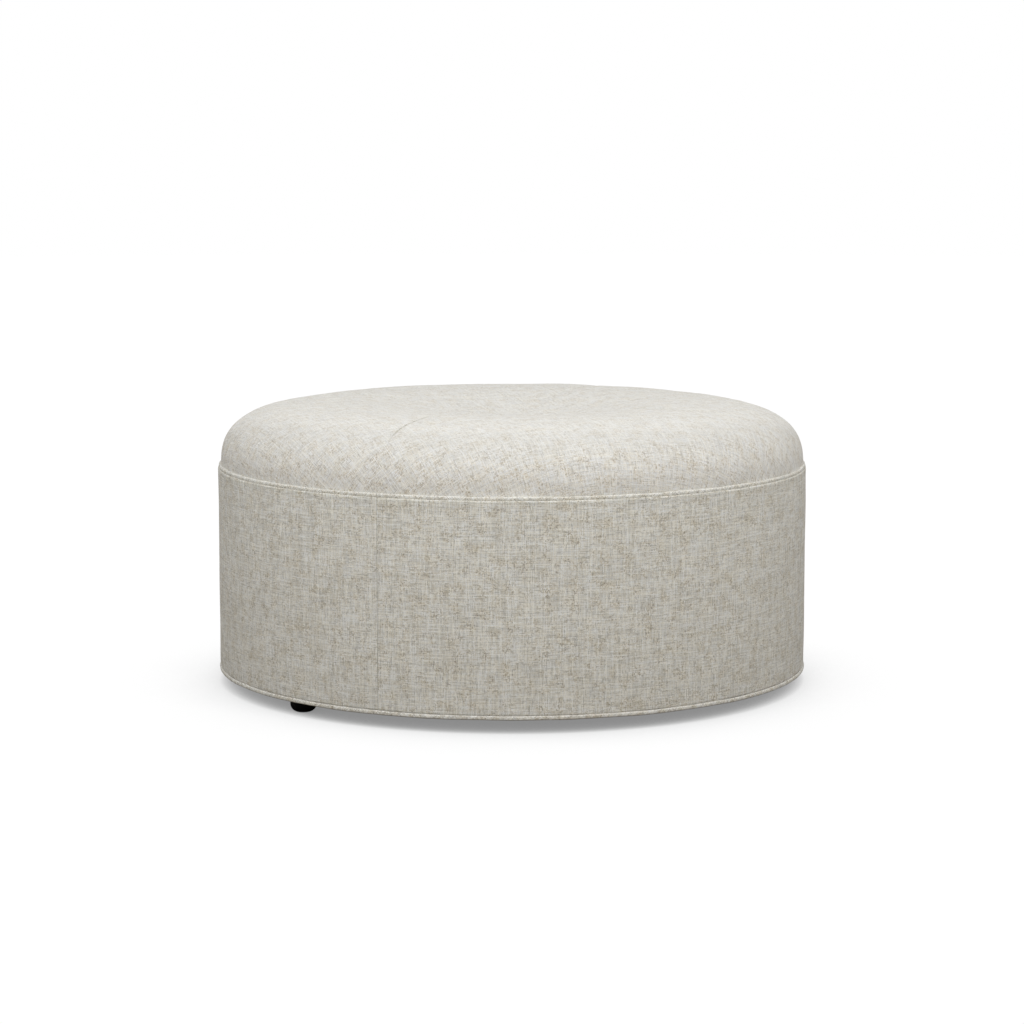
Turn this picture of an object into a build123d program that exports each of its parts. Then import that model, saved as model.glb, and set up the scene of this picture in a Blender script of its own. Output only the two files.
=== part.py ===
from build123d import *
import os
from math import acos, cos, degrees, radians, sin, sqrt

# Round upholstered ottoman used as a coffee table, in millimetres.
# The origin is on the floor under the middle, +Z is up and the front faces -Y.

# Driving sizes of the outside
drum_radius = 457.2
upper_welt_height = 337.3
crown_rise = 94.5
rim_height = 20.0

# Layers of the wall, from the outside in
cover_thickness = 1.2
padding_thickness = 5.0
side_panel_thickness = 3.0
lay_gap = 0.3

# Crown of the cushion: a rounded shoulder, a crest, and a shallow dish inside it
cushion_inset = 4.6
shoulder_width = 222.6
dish_margin = 28.0
dish_depth = 27.0
dish_turn_share = 0.4
shoulder_power_share = 0.588
crest_power_share = 0.706
crown_arcs = 6

# Four radial creases that the centre tie pulls into the crown
crease_count = 4
crease_start_angle = 45.0
crease_depth = 8.0
crease_width = 64.0
crease_sagitta = 14.0
crease_headroom = 20.0
crease_reach_shares = (0.10, 0.30, 0.55, 0.75, 0.90, 0.97)
crease_depth_shares = (-0.25, 0.45, 1.0, 0.75, 0.35, -0.25)

# Piping along both edges of the drum: a cord in a folded strip with a sewing flange
welt_radius = 3.0
welt_wall = 1.0
welt_cord_gap = 0.1
upper_welt_inset = 0.4
lower_welt_proud = 1.0
welt_flange_thickness = 1.0
welt_flange_width = 22.0

# Seat padding under the cover
wadding_over_foam = 17.5
foam_edge_radius = 25.0

# Plywood boards and softwood frame
deck_thickness = 15.0
base_thickness = 12.0
post_width = 40.0
post_count = 8
post_setback = 7.1
rail_width = 60.0
rail_thickness = 20.0
rail_setback = 1.1
side_panel_count = 2

# Feet, on a rectangle about the middle that is wider than it is deep
foot_inset = 21.7
foot_angle = 23.55
foot_radius = 19.5
foot_edge_radius = 12.0
foot_bore_radius = 5.5
foot_bore_depth = 10.0

# Dust cover under the base
dust_cover_thickness = 0.5
dust_cover_lap = 8.0

# Wood screws
screw_radius = 2.2
screw_head_radius = 4.5
screw_head_depth = 2.6
screw_tip_length = 4.0
screw_gap = 0.1
long_screw_length = 50.0
short_screw_length = 28.0
post_screw_spacing = 20.0
rail_screw_inset = 140.0
rail_screw_count = 3
foot_screw_radius = 2.5
foot_screw_length = 40.0
foot_screw_head_radius = 5.0
foot_screw_head_height = 3.5

# Staples
staple_width = 10.0
staple_leg = 10.0
staple_wire = 0.8
panel_staple_count = 16
dust_staple_count = 32
dust_staple_inset = 4.0

# Centre tie that holds the dish down
tie_washer_radius = 19.0
tie_washer_thickness = 2.0
tie_radius = 1.2
tie_hole_gap = 0.4
tie_knot_radius = 3.5

# Heights and radii that follow from the sizes above
cushion_radius = drum_radius - cushion_inset
crest_radius = cushion_radius - shoulder_width
dish_radius = crest_radius + dish_margin
padding_outer = drum_radius - cover_thickness - lay_gap
side_panel_outer = padding_outer - padding_thickness - lay_gap
board_radius = side_panel_outer - side_panel_thickness - lay_gap
upper_ring_radius = drum_radius - upper_welt_inset - welt_radius
lower_ring_radius = drum_radius + lower_welt_proud - welt_radius
lower_welt_height = rim_height + welt_radius
base_underside = lower_welt_height + welt_radius
base_top = base_underside + base_thickness
deck_top = upper_welt_height - welt_flange_thickness / 2
deck_underside = deck_top - deck_thickness
dust_cover_radius = lower_ring_radius - welt_flange_width + dust_cover_lap
dust_cover_top = base_underside - welt_flange_thickness
foot_height = dust_cover_top - dust_cover_thickness
post_ring_radius = board_radius - post_setback - post_width / 2
foam_radius = upper_ring_radius - welt_flange_width - lay_gap
foam_height = crown_rise - dish_depth - wadding_over_foam
foam_top = deck_top + foam_height
foot_x = (board_radius - foot_inset) * cos(radians(foot_angle))
foot_y = (board_radius - foot_inset) * sin(radians(foot_angle))
rail_screw_spacing = 2 * (foot_x - rail_screw_inset) / (rail_screw_count - 1)
panel_span = 360.0 / crease_count


def ring_profile(inner, outer, bottom, top):
    """Upright rectangle in the XZ plane, between two radii and two heights."""
    middle = Pos((inner + outer) / 2, (bottom + top) / 2)
    return Plane.XZ * middle * Rectangle(outer - inner, top - bottom)


def ring_sector(inner, outer, bottom, top, middle_angle, span):
    """Curved wall that spans some degrees about an angle from +X."""
    wall = revolve(ring_profile(inner, outer, bottom, top), Axis.Z, revolution_arc=span)
    return Rot(0, 0, middle_angle - span / 2) * wall


def disc(radius, bottom, top):
    """Round plate about the Z axis between two heights."""
    return extrude(Plane.XY.offset(bottom) * Circle(radius), top - bottom)


def around(count, start_angle=0.0):
    """Turns about Z that space a number of copies evenly."""
    return [Rot(0, 0, start_angle + 360.0 * index / count) for index in range(count)]


def crown_point(turn, inset):
    """Point on the crown's outline: a turn of 0 is at the welt and 90 at the crest."""
    reach = cushion_radius - inset - crest_radius
    radius = crest_radius + reach * cos(radians(turn)) ** shoulder_power_share
    height = upper_welt_height + (crown_rise - inset) * sin(radians(turn)) ** crest_power_share
    return radius, height


def crown_turn(radius, inset):
    """Turn at which the crown's outline reaches a radius."""
    reach = cushion_radius - inset - crest_radius
    return degrees(acos(((radius - crest_radius) / reach) ** (1 / shoulder_power_share)))


def dish_arc_radius(share):
    """Radius of the dish's outer or inner arc, which takes this share of its width and depth."""
    width = dish_radius * share
    drop = dish_depth * share
    return (width**2 + drop**2) / (2 * drop)


def crown_height(radius, inset):
    """Height of the crown's surface at a radius, on the shoulder or in the dish."""
    if radius >= dish_radius:
        return crown_point(crown_turn(radius, inset), inset)[1]
    rim = crown_point(crown_turn(dish_radius, inset), inset)[1]
    outer_arc = dish_arc_radius(dish_turn_share)
    inner_arc = dish_arc_radius(1 - dish_turn_share)
    if radius > dish_radius * (1 - dish_turn_share):
        return rim - outer_arc + sqrt(outer_arc**2 - (dish_radius - radius) ** 2)
    return rim - dish_depth + inner_arc - sqrt(inner_arc**2 - radius**2)


def crease_cutter(inset):
    """Shallow channel along +X that follows the crown and runs out at both ends."""
    sections = []
    for reach_share, depth_share in zip(crease_reach_shares, crease_depth_shares):
        radius = cushion_radius * reach_share
        floor = crown_height(radius, inset) - crease_depth * depth_share
        half = crease_width / 2
        brim = crease_sagitta
        lid = crease_sagitta + crease_headroom
        outline = ThreePointArc((-half, brim), (0, 0), (half, brim)) + Polyline(
            (half, brim), (half, lid), (-half, lid), (-half, brim)
        )
        plane = Plane(origin=(radius, 0, floor), x_dir=(0, 1, 0), z_dir=(1, 0, 0))
        sections.append(plane * make_face(outline))
    return loft(sections, ruled=True)


def cushion_form(inset, bottom):
    """Solid of the cushion's crown, dish and creases, set in from the outside by a layer."""
    last_turn = crown_turn(dish_radius, inset)
    points = [
        crown_point(last_turn * step / (2 * crown_arcs), inset)
        for step in range(2 * crown_arcs + 1)
    ]
    rim = points[-1]
    centre = (0, rim[1] - dish_depth)
    turn_over = (
        dish_radius * (1 - dish_turn_share),
        rim[1] - dish_depth * dish_turn_share,
    )
    foot = (points[0][0], bottom)
    outline = Line(foot, points[0])
    for arc in range(crown_arcs):
        outline += ThreePointArc(*points[2 * arc : 2 * arc + 3])
    outline += TangentArc(rim, turn_over, tangent=(-1, 0))
    outline += TangentArc(centre, turn_over, tangent=(1, 0))
    outline += Polyline(centre, (0, bottom), foot)
    form = revolve(Plane.XZ * make_face(outline), Axis.Z)
    cutter = crease_cutter(inset)
    return form - [turn * cutter for turn in around(crease_count, crease_start_angle)]


def cushion_cover():
    """Sewn top cover: a thin skin over the crown, down to the upper piping."""
    edge = upper_welt_height + welt_radius
    skin = cushion_form(0, edge)
    return skin - cushion_form(cover_thickness, upper_welt_height - welt_radius)


def foam_block(gap):
    """Round seat foam with a rounded top edge, or the space it takes with a gap at its side."""
    half_edge = foam_edge_radius + gap
    block = disc(foam_radius + gap, deck_top, foam_top)
    return fillet(block.edges().sort_by(Axis.Z)[-1], half_edge)


def tie_hole(bottom, top):
    """Hole along the centre tie between two heights."""
    return disc(tie_radius + tie_hole_gap, bottom, top)


def tie_washer_top():
    """Height of the upper washer's face, just under the cover in the middle of the dish."""
    return crown_height(0, cover_thickness) - lay_gap


def seat_foam():
    """Foam block with the centre tie's hole."""
    return foam_block(0) - tie_hole(deck_top, foam_top)


def crown_wadding():
    """Fibre wadding between the foam and the cover, with room for the piping and the washer."""
    bottom = deck_top + welt_flange_thickness
    washer_top = tie_washer_top()
    wadding = cushion_form(cover_thickness + lay_gap, bottom)
    wadding -= foam_block(lay_gap)
    wadding -= welt_tube(upper_ring_radius, upper_welt_height, welt_radius + lay_gap)
    wadding -= disc(
        tie_washer_radius + lay_gap,
        washer_top - tie_washer_thickness,
        washer_top + cover_thickness,
    )
    return wadding - tie_hole(foam_top, washer_top)


def welt_tube(ring_radius, height, radius):
    """Ring of round section on the piping's line."""
    return revolve(Plane.XZ * Pos(ring_radius, height) * Circle(radius), Axis.Z)


def welt(ring_radius, height, flange_top):
    """Piping strip: a tube round its cord with a flat flange that points inwards."""
    tube = Pos(ring_radius, height) * Circle(welt_radius)
    flange = Pos(
        ring_radius - welt_flange_width / 2,
        flange_top - welt_flange_thickness / 2,
    ) * Rectangle(welt_flange_width, welt_flange_thickness)
    bore = Pos(ring_radius, height) * Circle(welt_radius - welt_wall)
    return revolve(Plane.XZ * (tube + flange - bore), Axis.Z)


def welt_cord(ring_radius, height):
    """Cord inside the piping."""
    return welt_tube(ring_radius, height, welt_radius - welt_wall - welt_cord_gap)


def drum_panel(middle_angle):
    """One sewn panel of the drum's cover, from seam to seam and from piping to piping."""
    return ring_sector(
        drum_radius - cover_thickness,
        drum_radius,
        lower_welt_height + welt_radius,
        upper_welt_height - welt_radius,
        middle_angle,
        panel_span,
    )


def side_padding(middle_angle):
    """A quarter of the wadding round the drum."""
    return ring_sector(
        padding_outer - padding_thickness,
        padding_outer,
        base_underside + lay_gap,
        upper_welt_height - welt_radius - lay_gap,
        middle_angle,
        panel_span,
    )


def countersunk_screw(length, gap=0.0):
    """Wood screw that points down, its flat head's top at the origin, or its hole with a gap."""
    shank = screw_radius + gap
    head = screw_head_radius + gap
    outline = Polyline(
        (0, 0),
        (head, 0),
        (shank, -screw_head_depth),
        (shank, screw_tip_length - length),
        (0, -length - gap),
        close=True,
    )
    return revolve(Plane.XZ * make_face(outline), Axis.Z)


def foot_screw(gap=0.0):
    """Pan head screw that points up, the head's seat at the origin, or its hole with a gap."""
    shank = foot_screw_radius + gap
    head = foot_screw_head_radius + gap
    outline = Polyline(
        (0, -foot_screw_head_height),
        (head, -foot_screw_head_height),
        (head, 0),
        (shank, 0),
        (shank, foot_screw_length - screw_tip_length),
        (0, foot_screw_length + gap),
        close=True,
    )
    return revolve(Plane.XZ * make_face(outline), Axis.Z)


def staple():
    """Wire staple: its back on the YZ plane and its legs towards -X."""
    back = Pos(-staple_wire / 2, 0, 0) * Box(staple_wire, staple_width, staple_wire)
    leg = Pos(-staple_leg / 2, 0, 0) * Box(staple_leg, staple_wire, staple_wire)
    offset = (staple_width - staple_wire) / 2
    return back + Pos(0, offset, 0) * leg + Pos(0, -offset, 0) * leg


def side_staples():
    """Staples through the side panels into the edges of the base and the deck."""
    wire = staple()
    heights = (base_underside + base_thickness / 2, deck_top - deck_thickness / 2)
    start = 360.0 / panel_staple_count / 2
    return [
        turn * Pos(side_panel_outer, 0, height) * wire
        for height in heights
        for turn in around(panel_staple_count, start)
    ]


def underside_staples():
    """Staples up through the dust cover and the piping's flange into the base."""
    place = Pos(dust_cover_radius - dust_staple_inset, 0, foot_height - staple_wire)
    wire = place * Rot(0, 90, 0) * staple()
    start = 360.0 / dust_staple_count / 2
    return [turn * wire for turn in around(dust_staple_count, start)]


def foot_places():
    """Middle of each foot, by the name of its corner."""
    return {
        f"{row}_{side}": Pos(x * foot_x, y * foot_y, 0)
        for row, y in (("front", -1), ("back", 1))
        for side, x in (("left", -1), ("right", 1))
    }


def foot():
    """Low round foot with a rounded bottom edge and a bore for its screw."""
    block = disc(foot_radius, 0, foot_height)
    block = fillet(block.edges().sort_by(Axis.Z)[0], foot_edge_radius)
    block -= disc(foot_bore_radius, 0, foot_bore_depth)
    return block - disc(foot_screw_radius + screw_gap, foot_bore_depth, foot_height)


def foot_screws(gap=0.0):
    """One screw up through each foot into a rail."""
    return [
        place * Pos(0, 0, foot_bore_depth) * foot_screw(gap)
        for place in foot_places().values()
    ]


def post_screw_places(posts):
    """Middle of each screw over a number of posts, in plan, from the post on +X."""
    return [
        turn * Pos(post_ring_radius, side * post_screw_spacing / 2, 0)
        for turn in around(post_count)[:posts]
        for side in (-1, 1)
    ]


def deck_screws(gap=0.0, posts=post_count):
    """Screws down through the deck into the posts."""
    screw = Pos(0, 0, deck_top) * countersunk_screw(long_screw_length, gap)
    return [place * screw for place in post_screw_places(posts)]


def base_screws(gap=0.0, posts=post_count):
    """Screws up through the base into the posts."""
    screw = Pos(0, 0, base_underside) * Rot(180, 0, 0) * countersunk_screw(long_screw_length, gap)
    return [place * screw for place in post_screw_places(posts)]


def rail_screw_places():
    """Middle of each screw along the rails and battens, in plan."""
    middle = (rail_screw_count - 1) / 2
    return [
        Pos((index - middle) * rail_screw_spacing, side * foot_y, 0)
        for side in (-1, 1)
        for index in range(rail_screw_count)
    ]


def rail_screws(gap=0.0):
    """Screws down through the base rails into the base."""
    screw = Pos(0, 0, base_top + rail_thickness) * countersunk_screw(short_screw_length, gap)
    return [place * screw for place in rail_screw_places()]


def batten_screws(gap=0.0):
    """Screws up through the deck battens into the deck."""
    underside = Pos(0, 0, deck_underside - rail_thickness)
    screw = underside * Rot(180, 0, 0) * countersunk_screw(short_screw_length, gap)
    return [place * screw for place in rail_screw_places()]


def cross_rail(side, bottom):
    """Straight rail over a pair of feet, its ends sawn to the round of the boards."""
    middle = Pos(0, side * foot_y, bottom + rail_thickness / 2)
    plank = middle * Box(2 * board_radius, rail_width, rail_thickness)
    return plank & disc(board_radius - rail_setback, bottom, bottom + rail_thickness)


def base_board():
    """Round plywood base with its screw and staple holes."""
    board = disc(board_radius, base_underside, base_top)
    screws = base_screws(screw_gap) + rail_screws(screw_gap) + foot_screws(screw_gap)
    return board - (screws + side_staples() + underside_staples())


def deck_board():
    """Round plywood deck with its screw and staple holes and the tie's hole."""
    board = disc(board_radius, deck_underside, deck_top)
    screws = deck_screws(screw_gap) + batten_screws(screw_gap)
    return board - (screws + side_staples() + [tie_hole(deck_underside, deck_top)])


def base_rail(side):
    """Rail on the base that two feet are screwed to."""
    return cross_rail(side, base_top) - (rail_screws(screw_gap) + foot_screws(screw_gap))


def deck_batten(side):
    """Batten under the deck that stiffens it."""
    return cross_rail(side, deck_underside - rail_thickness) - batten_screws(screw_gap)


def post():
    """Upright on +X between the base and the deck, with its four screw holes."""
    height = deck_underside - base_top
    block = Pos(post_ring_radius, 0, base_top + height / 2) * Box(post_width, post_width, height)
    return block - (base_screws(screw_gap, posts=1) + deck_screws(screw_gap, posts=1))


def side_panel(middle_angle):
    """Half of the bent hardboard wall of the drum, with its staple holes."""
    wall = ring_sector(
        side_panel_outer - side_panel_thickness,
        side_panel_outer,
        base_underside,
        deck_top,
        middle_angle,
        360.0 / side_panel_count,
    )
    return wall - side_staples()


def lower_welt():
    """Piping round the bottom edge, its flange stapled under the base."""
    return welt(lower_ring_radius, lower_welt_height, base_underside) - underside_staples()


def upper_welt():
    """Piping between the cushion and the drum, its flange over the deck's edge."""
    return welt(upper_ring_radius, upper_welt_height, deck_top + welt_flange_thickness)


def dust_cover():
    """Thin cloth under the base, inside the piping."""
    cloth = disc(dust_cover_radius, foot_height, dust_cover_top)
    return cloth - (underside_staples() + foot_screws(screw_gap))


def tie_washer(bottom):
    """Washer at one end of the centre tie."""
    top = bottom + tie_washer_thickness
    return disc(tie_washer_radius, bottom, top) - tie_hole(bottom, top)


def centre_tie():
    """Twine through the seat and the deck, with a knot under the lower washer."""
    lower_washer = deck_underside - tie_washer_thickness
    twine = disc(tie_radius, lower_washer - tie_knot_radius, tie_washer_top())
    return twine + Pos(0, 0, lower_washer - tie_knot_radius) * Sphere(tie_knot_radius)


def all_parts():
    """Every sub-part by its name."""
    sides = {"right": 0.0, "back": 90.0, "left": 180.0, "front": 270.0}
    corners = ("right", "back_right", "back", "back_left", "left", "front_left", "front", "front_right")
    parts = {
        "cushion_cover": cushion_cover(),
        "crown_wadding": crown_wadding(),
        "seat_foam": seat_foam(),
        "upper_welt": upper_welt(),
        "upper_welt_cord": welt_cord(upper_ring_radius, upper_welt_height),
        "lower_welt": lower_welt(),
        "lower_welt_cord": welt_cord(lower_ring_radius, lower_welt_height),
        "side_panel_left": side_panel(sides["left"]),
        "side_panel_right": side_panel(sides["right"]),
        "side_panel_staples": side_staples(),
        "deck_board": deck_board(),
        "deck_screws": deck_screws(),
        "front_deck_batten": deck_batten(-1),
        "back_deck_batten": deck_batten(1),
        "deck_batten_screws": batten_screws(),
        "base_board": base_board(),
        "base_screws": base_screws(),
        "front_base_rail": base_rail(-1),
        "back_base_rail": base_rail(1),
        "base_rail_screws": rail_screws(),
        "dust_cover": dust_cover(),
        "dust_cover_staples": underside_staples(),
        "foot_screws": foot_screws(),
        "tie_twine": centre_tie(),
        "tie_washer_upper": tie_washer(tie_washer_top() - tie_washer_thickness),
        "tie_washer_lower": tie_washer(deck_underside - tie_washer_thickness),
    }
    for side, angle in sides.items():
        parts[f"drum_cover_{side}"] = drum_panel(angle)
        parts[f"side_padding_{side}"] = side_padding(angle)
    upright = post()
    for corner, turn in zip(corners, around(post_count)):
        parts[f"post_{corner}"] = turn * upright
    for corner, place in foot_places().items():
        parts[f"foot_{corner}"] = place * foot()
    return parts


def write_parts():
    """Write each sub-part to its own file."""
    os.makedirs("parts", exist_ok=True)
    for name, shape in all_parts().items():
        if isinstance(shape, list):
            shape = Compound(children=shape)
        shape.label = name
        export_step(shape, f"parts/{name}.step")


write_parts()
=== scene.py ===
import logging
import math
from dataclasses import dataclass
from enum import Enum
from typing import Any

import bpy
import numpy as np
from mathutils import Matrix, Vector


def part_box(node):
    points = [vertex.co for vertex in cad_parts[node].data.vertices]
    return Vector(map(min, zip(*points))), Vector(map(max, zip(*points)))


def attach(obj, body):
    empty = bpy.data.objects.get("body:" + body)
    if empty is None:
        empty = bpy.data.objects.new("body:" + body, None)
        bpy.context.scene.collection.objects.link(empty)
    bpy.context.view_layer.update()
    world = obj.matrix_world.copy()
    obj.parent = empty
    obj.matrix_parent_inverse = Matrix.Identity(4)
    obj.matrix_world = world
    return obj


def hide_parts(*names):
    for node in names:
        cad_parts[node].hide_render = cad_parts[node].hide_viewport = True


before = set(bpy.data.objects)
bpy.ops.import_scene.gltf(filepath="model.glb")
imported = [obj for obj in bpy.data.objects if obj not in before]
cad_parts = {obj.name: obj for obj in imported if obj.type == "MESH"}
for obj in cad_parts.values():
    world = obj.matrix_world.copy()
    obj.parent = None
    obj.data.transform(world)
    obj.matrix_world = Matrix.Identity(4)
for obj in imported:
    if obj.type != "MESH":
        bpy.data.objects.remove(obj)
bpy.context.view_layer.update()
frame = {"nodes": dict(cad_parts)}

# Looks of a round upholstered ottoman, in metres: linen covers, piping, feet, frame and studio.

log = logging.getLogger("ottoman")

Colour = tuple[float, float, float]
Limits = tuple[float, float]

CLOTH_MAP = "cloth"
# Mesh attribute that carries the painted shade of creases and seams.
SHADE_MARK = "fold"
ROOT = "root"
WHITE: Colour = (1.0, 1.0, 1.0)
FULL_TURN = 2.0 * math.pi
RIGHT_ANGLE = 90.0
MILLIMETRE = 0.001


# Nodes


class Wire:
    """A number on its way through a node tree, so that node maths reads as Python."""

    def __init__(self, board: "NodeBoard", socket: bpy.types.NodeSocket) -> None:
        """Keeps the node tree and the socket that the number comes from."""
        self.board = board
        self.socket = socket

    def __add__(self, other: "Wire | float") -> "Wire":
        """Sum."""
        return self.board.maths("ADD", self, other)

    def __radd__(self, other: float) -> "Wire":
        """Sum with the number first."""
        return self.board.maths("ADD", other, self)

    def __sub__(self, other: "Wire | float") -> "Wire":
        """Difference."""
        return self.board.maths("SUBTRACT", self, other)

    def __rsub__(self, other: float) -> "Wire":
        """Difference with the number first."""
        return self.board.maths("SUBTRACT", other, self)

    def __mul__(self, other: "Wire | float") -> "Wire":
        """Product."""
        return self.board.maths("MULTIPLY", self, other)

    def __truediv__(self, other: "Wire | float") -> "Wire":
        """Quotient."""
        return self.board.maths("DIVIDE", self, other)

    def floor(self) -> "Wire":
        """Whole part."""
        return self.board.maths("FLOOR", self)

    def fraction(self) -> "Wire":
        """Part after the point."""
        return self.board.maths("FRACT", self)

    def size(self) -> "Wire":
        """Value without its sign."""
        return self.board.maths("ABSOLUTE", self)

    def most(self, other: "Wire | float") -> "Wire":
        """Larger of two numbers."""
        return self.board.maths("MAXIMUM", self, other)

    def hump(self) -> "Wire":
        """Rounded arch that is 0 at every whole number and 1 half way between them."""
        half = self.fraction() - 0.5
        return 1.0 - half * half * 4.0

    def odd(self) -> "Wire":
        """1 where a whole number is odd and 0 where it is even."""
        return (self * 0.5).fraction().between(0.2, 0.3)

    def between(self, low: float, high: float) -> "Wire":
        """Smooth step from 0 at one value to 1 at another.

        Args:
            low: value where the step starts.
            high: value where the step ends.

        Returns:
            The step as a number from 0 to 1.
        """
        settings = {"interpolation_type": "SMOOTHSTEP"}
        inputs = {"Value": self, "From Min": low, "From Max": high}
        return self.board.wire(self.board.add("ShaderNodeMapRange", settings, inputs))


Feed = Wire | bpy.types.NodeSocket | float | tuple


class NodeBoard:
    """Node tree of a material, the world or a modifier, with one method that adds any node."""

    def __init__(self, owner: bpy.types.Material | bpy.types.World | bpy.types.NodeTree) -> None:
        """Takes over the node tree and empties it.

        Args:
            owner: the tree itself, or the material or world that it belongs to.
        """
        self.owner = owner
        self.tree = owner
        if not isinstance(owner, bpy.types.NodeTree):
            owner.use_nodes = True
            self.tree = owner.node_tree
        self.tree.nodes.clear()

    def add(
        self,
        kind: str,
        settings: dict[str, Any] | None = None,
        inputs: dict[str | int, Feed] | None = None,
    ) -> bpy.types.Node:
        """Adds a node, with its settings first and then what its sockets take.

        Args:
            kind: the node's type.
            settings: attributes of the node; "stops" holds a ramp's places and colours.
            inputs: values or links by socket name or index.

        Returns:
            The new node.
        """
        node = self.tree.nodes.new(kind)
        for key, value in (settings or {}).items():
            if key == "stops":
                self._set_stops(node, value)
            else:
                setattr(node, key, value)
        for key, value in (inputs or {}).items():
            socket = node.inputs[key]
            value = value.socket if isinstance(value, Wire) else value
            if isinstance(value, bpy.types.NodeSocket):
                self.tree.links.new(value, socket)
            elif isinstance(value, tuple) and len(value) == 3 and socket.type == "RGBA":
                socket.default_value = (*value, 1.0)
            else:
                socket.default_value = value
        return node

    @staticmethod
    def _set_stops(node: bpy.types.Node, stops: list[tuple[float, Colour]]) -> None:
        """Fills a colour ramp.

        Args:
            node: the Color Ramp node.
            stops: place and colour of each stop, in order.
        """
        elements = node.color_ramp.elements
        while len(elements) < len(stops):
            elements.new(1.0)
        for element, (place, colour) in zip(elements, stops):
            element.position = place
            element.color = (*colour, 1.0)

    def wire(self, node: bpy.types.Node, output: int | str = 0) -> Wire:
        """One output of a node as a number for Python maths."""
        return Wire(self, node.outputs[output])

    def maths(self, operation: str, first: Wire | float, second: Wire | float = 0.0) -> Wire:
        """Adds a Math node and returns its result."""
        settings = {"operation": operation}
        return self.wire(self.add("ShaderNodeMath", settings, {0: first, 1: second}))

    def split(self, vector: Wire) -> tuple[Wire, Wire, Wire]:
        """The three numbers of a vector."""
        node = self.add("ShaderNodeSeparateXYZ", None, {0: vector})
        return self.wire(node, 0), self.wire(node, 1), self.wire(node, 2)

    def join(self, x: Feed = 0.0, y: Feed = 0.0, z: Feed = 0.0) -> Wire:
        """A vector from three numbers."""
        return self.wire(self.add("ShaderNodeCombineXYZ", None, {0: x, 1: y, 2: z}))

    def cloth(self) -> Wire:
        """Place on the cut cloth, in metres along its two thread directions."""
        return self.wire(self.add("ShaderNodeUVMap", {"uv_map": CLOTH_MAP}))

    def place(self) -> Wire:
        """Place on the object, in metres."""
        return self.wire(self.add("ShaderNodeTexCoord"), "Object")

    def mark(self, name: str) -> Wire:
        """Number that the mesh carries at every point, or 0 on meshes without it."""
        return self.wire(self.add("ShaderNodeAttribute", {"attribute_name": name}), "Fac")

    def facing(self) -> Wire:
        """Direction that the surface faces."""
        return self.wire(self.add("ShaderNodeNewGeometry"), "Normal")

    def noise(
        self, where: Wire, scale: float, detail: float = 1.0, flat: bool = False
    ) -> Wire:
        """Smooth random number about a half.

        Args:
            where: vector to read the pattern at.
            scale: lumps per unit of that vector.
            detail: finer layers on top.
            flat: read in two dimensions instead of three.

        Returns:
            The number, mostly between 0.2 and 0.8.
        """
        settings = {"noise_dimensions": "2D" if flat else "3D"}
        inputs = {"Vector": where, "Scale": scale, "Detail": detail}
        return self.wire(self.add("ShaderNodeTexNoise", settings, inputs))

    def blend(self, share: Feed, first: Feed, second: Feed, mode: str = "MIX") -> Wire:
        """Mix of two colours.

        Args:
            share: how much of the second colour, from 0 to 1.
            first: colour or link.
            second: colour or link.
            mode: blend type of the Mix node.

        Returns:
            The mixed colour.
        """
        settings = {"data_type": "RGBA", "blend_type": mode}
        colour_a, colour_b, colour_out = 6, 7, 2
        inputs = {0: share, colour_a: first, colour_b: second}
        return self.wire(self.add("ShaderNodeMix", settings, inputs), colour_out)

    def bump(self, height: Wire, depth: float) -> Wire:
        """Normal of a surface with a height pattern.

        Args:
            height: pattern from 0 to 1.
            depth: height of 1, in metres.

        Returns:
            The bumped normal.
        """
        inputs = {"Height": height, "Distance": depth, "Strength": 1.0}
        return self.wire(self.add("ShaderNodeBump", None, inputs))

    def finish(
        self, colour: Feed, roughness: Feed, normal: Wire, **constants: float
    ) -> bpy.types.Material:
        """Closes the material with one surface shader.

        Args:
            colour: base colour.
            roughness: roughness value or link.
            normal: bumped normal.
            constants: other sockets of the shader, with _ for a space in their names.

        Returns:
            The finished material.
        """
        inputs: dict[str | int, Feed] = {
            "Base Color": colour, "Roughness": roughness, "Normal": normal
        }
        for key, value in constants.items():
            inputs[key.replace("_", " ")] = value
        shader = self.add("ShaderNodeBsdfPrincipled", None, inputs)
        self.add("ShaderNodeOutputMaterial", None, {"Surface": shader.outputs[0]})
        return self.owner


def material_board(name: str) -> NodeBoard:
    """Empty node tree of a new material."""
    return NodeBoard(bpy.data.materials.new(name))


# Finishes


@dataclass
class Yarn:
    """What a material knows of the yarns of one direction at a point, from 0 to 1."""

    tone: Wire
    slub: Wire
    dash: Wire
    speck: Wire
    knot: Wire
    dye: Wire
    fibres: Wire
    crown: Wire


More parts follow.
